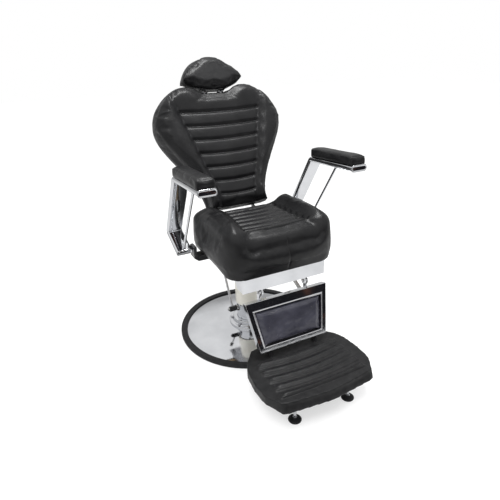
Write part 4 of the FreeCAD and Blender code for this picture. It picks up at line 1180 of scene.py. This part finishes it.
@dataclass
class BackRest:
    """Heart-shaped back: padded wings round a channelled middle, on a moulded shell."""

    thick: float = 0.088
    pitch: float = 0.065
    first: float = 0.060
    last: float = 0.450
    up: tuple[float, ...] = (0.0, 0.057, 0.121, 0.183, 0.253, 0.311, 0.382, 0.450, 0.52, 0.58)
    half: tuple[float, ...] = (0.086, 0.092, 0.108, 0.131, 0.151, 0.165, 0.187, 0.205, 0.215, 0.21)
    edge_up: tuple[float, ...] = (0.0, 0.12, 0.238, 0.32, 0.410, 0.50, 0.579)
    edge_half: tuple[float, ...] = (0.150, 0.190, 0.250, 0.295, 0.318, 0.28, 0.168)

    def build(self) -> None:
        """Build, swell, seam and dress the back."""
        pad = Cushion("back_pad", ("back_cushion",), voxel=0.0065, softening=18, cap=0.012, shrink=0.001,
                      held=lambda places: BACK_PLANE.split(places)[2] > self.thick - 0.010)
        deliver(pad.upholster(self.shaped), "back", BLACK_LEATHER, "back_cushion")
        dress(MOULDED, "back_shell", edge=0.003)
        dress(STEEL, "headrest_sockets", "crank_bar", edge=0.0)
        dress(BLACK_PAINT, "back_plates", edge=0.0012)
        dress(CHROME, "headrest_ovals", edge=0.0015)

    def shaped(self, places: np.ndarray, normals: np.ndarray) -> np.ndarray:
        """Sew the channels and seams, and round the wings.

        Args:
            places: the swelled cushion's vertices.
            normals: their normals.

        Returns:
            The new places.
        """
        x, up, behind = BACK_PLANE.split(places)
        across = np.abs(x)
        seam = np.interp(up, self.up, self.half)
        edge = np.interp(up, self.edge_up, self.edge_half)
        front = ramp(-(normals @ BACK_PLANE.behind), 0.2, 0.8) * ramp(0.05 - behind, 0.0, 0.03)
        sag = 0.007 * (1 - (across / np.maximum(seam, 0.05)) ** 2)
        phase = (up - self.first + sag) / self.pitch
        last = (self.last - self.first) / self.pitch
        share = np.abs((phase + 0.5) % 1.0 - 0.5)
        within = ramp(phase, -0.6, -0.4) * (1 - ramp(phase, last + 0.35, last + 0.55))
        inside = ramp(seam - across, -0.004, 0.012)
        pillow = -0.0070 * np.exp(-(share / 0.11) ** 2) - 0.003 * (2 * share - 1) ** 2
        depth = pillow * within * inside
        scallop = seam + 0.002 * np.cos(2 * np.pi * phase) * within
        depth -= 0.0060 * groove(across - scallop, 0.0075) * (1 - ramp(up, 0.45, 0.52))
        wing = np.clip((across - seam) / np.maximum(edge - seam, 0.04), 0.0, 1.0)
        depth += 0.012 * np.sin(np.pi * wing ** 0.8) * ramp(across - seam, 0.0, 0.03)
        depth -= 0.010 * inside * ramp(up, 0.0, 0.1) * (1 - ramp(up, 0.45, 0.56))
        crease = edge - 0.050
        depth -= 0.0024 * groove(across - crease, 0.018) * ramp(up, 0.18, 0.30) * (1 - ramp(up, 0.40, 0.50))
        puckers = 0.0012 * np.cos(2 * np.pi * phase) * groove(across - seam - 0.014, 0.016) * within
        depth += puckers
        creases = 0.0014 * wobble(places, 7.0, 5.0) + 0.0004 * wobble(places, 26.0, 9.0)
        result = places - BACK_PLANE.behind * (depth * front)[:, None]
        result[:, 2] -= 0.011 * (1 - ramp(up, -0.004, 0.05)) * ramp(0.06 - behind, 0.0, 0.04)
        return result + normals * (creases * ramp(0.075 - behind, 0.0, 0.03))[:, None]


@dataclass
class HeadRest:
    """Pillow on a plate and two posts."""

    post_x: float = 0.040
    post_behind: float = 0.045
    post_low: float = 0.410
    post_top: float = 0.558
    half_wide: float = 0.152
    shoulder: float = 0.600
    crown: float = 0.702
    slope_x: tuple[float, ...] = (0.0, 0.046, 0.147, 0.151)
    slope_up: tuple[float, ...] = (0.697, 0.697, 0.612, 0.596)

    def build(self) -> None:
        """Build, swell and dress the headrest."""
        pad = Cushion("head_pillow", ("headrest_pad",), voxel=0.0052, softening=22, cap=0.008, shrink=0.001)
        deliver(pad.upholster(self.shaped), "headrest", BLACK_LEATHER, "headrest_pad")
        posts = joined("headrest_bars", [self.post(side) for side in Side])
        deliver(posts, "headrest", CHROME, "headrest_posts")
        dress(BLACK_PAINT, "headrest_plate", edge=0.0008)

    def post(self, side: Side) -> Piece:
        """One of the two posts."""
        foot = BACK_PLANE.point(side.value * self.post_x, self.post_low, self.post_behind)
        length = self.post_top - self.post_low
        profile = [(0.0, 0.0), (0.006, 0.0), (0.007, 0.001), (0.007, length), (0.0, length)]
        return spun(f"post_{side.word}", profile, foot, tuple(BACK_PLANE.upward), 32, False)

    def shaped(self, places: np.ndarray, normals: np.ndarray) -> np.ndarray:
        """Bow the pillow's top into an arch and sew its seam.

        Args:
            places: the swelled pillow's vertices.
            normals: their normals.

        Returns:
            The new places.
        """
        x, up, behind = BACK_PLANE.split(places)
        share = np.clip(np.abs(x) / self.half_wide, 0.0, 1.0)
        slope = np.interp(np.abs(x), self.slope_x, self.slope_up)
        dome = self.shoulder + (self.crown - self.shoulder) * (1 - share ** 2) ** 0.8
        bow = (dome - slope) * ramp(up, 0.600, np.maximum(slope, 0.625))
        bow -= 0.008 * (1 - share ** 2) * ramp(0.620 - up, 0.0, 0.05) * ramp(0.05 - behind, 0.0, 0.05)
        seam = 0.0022 * groove(behind - 0.052, 0.0035) * ramp(up, 0.585, 0.60)
        creases = 0.0012 * wobble(places, 12.0, 7.0)
        return places + BACK_PLANE.upward * bow[:, None] + normals * (creases - seam)[:, None]


@dataclass
class Recliner:
    """Hinges, gas spring and link that join the back to the leg rest."""

    def build(self) -> None:
        """Dress the working parts below the seat."""
        dress(BLACK_PAINT, "back_hinge_ears", edge=0.0012)
        dress(STEEL, "back_hinge_pins", "leg_hinge_pins", "link_pin", edge=0.0)
        dress(CHROME, "leg_hinge_ears", "leg_arms", edge=0.0010)
        dress(BLACK_PAINT, "spring_cylinder", edge=0.0)
        dress(CHROME, "spring_rod", edge=0.0)
        dress(STEEL, "link_bar", edge=0.0010)


# ------------------------------------------------------------------ leg rest and footrest

@dataclass
class LegRest:
    """Mirror-bright frame with a beaded, padded panel."""

    long: float = 0.217
    top_half: float = 0.191
    low_half: float = 0.158

    def build(self) -> None:
        """Build and dress the leg rest."""
        dress(CHROME, "leg_frame", edge=0.0016)
        dress(SILVER, "leg_bead", edge=0.0022)
        dress(BLACK_PAINT, "leg_backing", edge=0.0)
        pad = Cushion("calf_panel", ("leg_panel",), voxel=0.0042, softening=4, cap=0.006, shrink=0.0008,
                      held=lambda places: LEG_PLANE.split(places)[2] > 0.016)
        deliver(pad.upholster(self.shaped), "leg_rest", PANEL_LEATHER, "leg_panel")

    def shaped(self, places: np.ndarray, normals: np.ndarray) -> np.ndarray:
        """Crown the panel, tuck its corners and ripple its face.

        Args:
            places: the swelled panel's vertices.
            normals: their normals.

        Returns:
            The new places.
        """
        x, up, _ = LEG_PLANE.split(places)
        down = -up
        half = self.top_half - (self.top_half - self.low_half) * down / self.long - 0.026
        side = np.clip(np.abs(x) / half, 0, 1)
        level = np.clip(np.abs(down - 0.1185) / 0.075, 0, 1)
        crown = 0.0075 * (1 - side ** 4) * (1 - level ** 4)
        corner = 0.004 * (side ** 6) * (level ** 6)
        front = ramp(-(normals @ LEG_PLANE.behind), 0.3, 0.8)
        ripple = 0.0009 * wobble(places, 26.0, 2.0) + 0.0006 * wobble(places, 60.0, 4.0)
        return places - LEG_PLANE.behind * ((crown - corner + ripple) * front)[:, None]


@dataclass
class FootRest:
    """Moulded tread with curved ribs, on a tray, brackets and two glides."""

    voxel: float = 0.0034
    bow: float = 0.015
    rib_y: tuple[float, ...] = (-0.475, -0.520, -0.567, -0.616, -0.664)
    glide: tuple[float, float] = (0.125, -0.656)

    def build(self) -> None:
        """Build and dress the footrest."""
        piece = copied("foot_tread", ("footrest_tread",))
        apply_modifier(piece, "REMESH", mode="VOXEL", voxel_size=self.voxel)
        apply_modifier(piece, "SMOOTH", factor=0.5, iterations=3)
        places, _ = read_mesh(piece)
        write_mesh(piece, self.shaped(places))
        smooth(piece, 60)
        deliver(piece, "leg_rest", MOULDED, "footrest_tread")
        dress(BLACK_PAINT, "footrest_tray", "footrest_brackets", edge=0.001)
        stems, feet = [], []
        for side in Side:
            at = (side.value * self.glide[0], self.glide[1], 0.0)
            stem = [(0.0, 0.008), (0.0085, 0.008), (0.0085, 0.016), (0.006, 0.0175), (0.006, 0.1005),
                    (0.0, 0.1005)]
            stems.append(spun(f"stem_{side.word}", stem, at, (0, 0, 1), 32, False))
            foot = rounded([(0.0, 0.0), (0.0255, 0.0), (0.027, 0.0035), (0.020, 0.0075), (0.010, 0.009),
                            (0.0, 0.009)], [0, 0.002, 0.002, 0.004, 0.002, 0], 3)
            feet.append(spun(f"foot_{side.word}", foot, at, (0, 0, 1), 48, False))
        deliver(joined("glide_bolts", stems), "leg_rest", CHROME, "glide_stems")
        deliver(joined("glide_discs", feet), "leg_rest", RUBBER, "glide_feet")

    def shaped(self, places: np.ndarray) -> np.ndarray:
        """Bow the ribs, dish the tread and slant its front.

        Args:
            places: the remeshed tread's vertices.

        Returns:
            The new places.
        """
        x, y, z = places.T.copy()
        share = np.clip(np.abs(x) / 0.2, 0, 1)
        between = ramp(-y, 0.40, 0.46) * (1 - 0.85 * ramp(-y, 0.685, 0.735))
        y = y - self.bow * (1 - share ** 2) * between * ramp(z, 0.128, 0.142) + 0.006 * between
        top = ramp(z, 0.128, 0.142)
        z = z - top * 0.006 * groove(np.hypot(x / 0.22, (y + 0.55) / 0.13), 0.9) + top * 0.003
        z = z + 0.0005 * wobble(places, 30.0, 1.0) * top
        ends = 1 - ramp(np.abs(x), 0.165, 0.182)
        for rib in self.rib_y:
            z = z + 0.0045 * groove(y + 0.018 * (1 - share ** 2) - rib - 0.012, 0.0085) * ends * top
        forward = ramp(-y, 0.66, 0.70)
        y = y + forward * 0.014 * ramp(z, 0.105, 0.146)
        corner = ramp(np.abs(x), 0.185, 0.245) * ramp(-y, 0.60, 0.73)
        x, y = x - np.sign(x) * 0.010 * corner, y + 0.016 * corner
        return np.column_stack([x, y, z])


# ------------------------------------------------------------------ studio

@dataclass(frozen=True)
class Lamp:
    """A soft square lamp aimed at the chair; size in metres, power in watts."""

    name: str
    place: Point
    size: float
    power: float
    mirrored: bool = False


@dataclass(frozen=True)
class Card:
    """A dark card that only mirrors show, turned up about X."""

    name: str
    place: Point
    wide: float
    high: float
    turn: float = 0.0


@dataclass
class Studio:
    """Pale floor, soft light and the camera."""

    place: Point = (-0.7867, -1.6898, 1.2856)
    azimuth: float = -25.43
    pitch: float = 24.77
    roll: float = -1.65
    lens: float = 30.75
    aim: Point = (0.0, -0.1, 0.6)
    sky_stops: tuple[Flat, ...] = ((0.0, 0.60), (0.10, 0.45), (0.26, 0.40), (0.42, 0.78), (0.8, 0.90))
    lamps: tuple[Lamp, ...] = (Lamp("key_light", (-1.4, -1.6, 3.2), 1.3, 60.0),
                               Lamp("top_light", (0.2, -0.15, 3.2), 1.0, 62.0, mirrored=True),
                               Lamp("side_light", (2.6, -0.6, 1.9), 1.0, 22.0))
    cards: tuple[Card, ...] = (Card("dark_card_front", (1.0, -4.4, 0.85), 8.0, 1.7, math.pi / 2),
                               Card("dark_card_low", (1.0, -3.25, 0.003), 8.0, 2.3))

    def build(self) -> None:
        """Set the floor, the sky, the lamps, the dark cards and the camera."""
        self.floor()
        self.sky()
        for lamp in self.lamps:
            self.hang(lamp)
        for card in self.cards:
            self.stand(card)
        self.camera()

    def floor(self) -> None:
        """A wide pale floor."""
        ground = start_piece("studio_floor", bpy.ops.mesh.primitive_grid_add, x_subdivisions=8,
                             y_subdivisions=8, size=30.0)
        bench = NodeBench("studio_floor")
        rays = bench.add("ShaderNodeLightPath").outputs["Is Glossy Ray"]
        bench.colour_between(rays, tone(0.50, 0.50, 0.50), tone(0.34, 0.34, 0.34))
        bench.set(Roughness=0.9, Specular_IOR_Level=0.1, Emission_Color=WHITE)
        bench.link(bench.spread(rays, 0.52, 0.34, 0.0, 1.0), bench.shader.inputs["Emission Strength"])
        ground.data.materials.append(bench.material)

    def sky(self) -> None:
        """A pale sky that is brighter overhead than at the horizon."""
        world = bpy.data.worlds.new("studio_sky")
        bpy.context.scene.world = world
        world.use_nodes = True
        writer = NodeWriter(world.node_tree)
        background = writer.tree.nodes["Background"]
        where = writer.add("ShaderNodeTexCoord")
        parts = writer.add("ShaderNodeSeparateXYZ")
        writer.link(where.outputs["Generated"], parts.inputs["Vector"])
        bands = writer.add("ShaderNodeValToRGB")
        writer.link(parts.outputs["Z"], bands.inputs["Fac"])
        while len(bands.color_ramp.elements) < len(self.sky_stops):
            bands.color_ramp.elements.new(0.5)
        for element, (position, value) in zip(bands.color_ramp.elements, self.sky_stops):
            element.position = position
            element.color = tone(value, value, value)
        rays = writer.add("ShaderNodeLightPath")
        mix = writer.add("ShaderNodeMix", data_type="RGBA")
        writer.link(rays.outputs["Is Glossy Ray"], mix.inputs["Factor"])
        mix.inputs["A"].default_value = WHITE
        writer.link(bands.outputs["Color"], mix.inputs["B"])
        writer.link(mix.outputs["Result"], background.inputs["Color"])
        background.inputs["Strength"].default_value = 1.0

    def hang(self, lamp: Lamp) -> None:
        """Hang one lamp."""
        light = bpy.data.lights.new(lamp.name, "AREA")
        light.size = lamp.size
        light.energy = lamp.power
        hung = bpy.data.objects.new(lamp.name, light)
        hung.location = lamp.place
        hung.rotation_euler = (Vector(self.aim) - Vector(lamp.place)).to_track_quat("-Z", "Y").to_euler()
        bpy.context.scene.collection.objects.link(hung)
        hung.visible_glossy = lamp.mirrored

    def stand(self, board: Card) -> None:
        """Set up one card, with a few warm patches in its dark grey."""
        size = (board.wide, board.high, 1.0)
        card = start_piece(board.name, bpy.ops.mesh.primitive_grid_add, x_subdivisions=6, y_subdivisions=4,
                           size=1.0, scale=size)
        set_mode("EDIT")
        bpy.ops.mesh.select_all(action="SELECT")
        bpy.ops.transform.resize(value=size, center_override=(0, 0, 0))
        set_mode("OBJECT")
        place_piece(card, Matrix.Translation(board.place) @ Matrix.Rotation(board.turn, 4, "X"))
        bench = NodeBench(board.name)
        bench.colour_between(bench.spread(bench.noise(1.6, 2.0), 0.0, 1.0, 0.56, 0.66),
                             tone(0.008, 0.008, 0.010), tone(0.10, 0.045, 0.03))
        bench.set(Roughness=1.0, Specular_IOR_Level=0.0)
        card.data.materials.append(bench.material)
        card.visible_camera = False
        card.visible_diffuse = False
        card.visible_shadow = False

    def camera(self) -> None:
        """The camera, a little above the seat and to the sitter's right."""
        data = bpy.data.cameras.new("camera")
        data.sensor_width = 36.0
        data.lens = self.lens
        camera = bpy.data.objects.new("camera", data)
        bpy.context.scene.collection.objects.link(camera)
        turn, drop, roll = (math.radians(angle) for angle in (self.azimuth, self.pitch, self.roll))
        back = Vector((math.sin(turn) * math.cos(drop), -math.cos(turn) * math.cos(drop), math.sin(drop)))
        right = (-back).cross(Vector((0, 0, 1))).normalized()
        above = right.cross(-back)
        tilted = right * math.cos(roll) + above * math.sin(roll)
        crown = above * math.cos(roll) - right * math.sin(roll)
        matrix = Matrix((tilted, crown, back)).transposed().to_4x4()
        matrix.translation = Vector(self.place)
        camera.matrix_world = matrix
        bpy.context.scene.camera = camera


def main() -> None:
    """Build the chair from the floor up, then the studio."""
    for assembly in (RoundBase(), Pump(), PumpLever(), Underframe(), SeatCushion(), Arms(), BackRest(),
                     HeadRest(), Recliner(), LegRest(), FootRest(), Studio()):
        log.info("building %s", type(assembly).__name__)
        assembly.build()
    bpy.context.scene.view_settings.view_transform = "Standard"
    set_mode("OBJECT")
    bpy.ops.object.select_all(action="DESELECT")


if __name__ == "__main__":
    main()
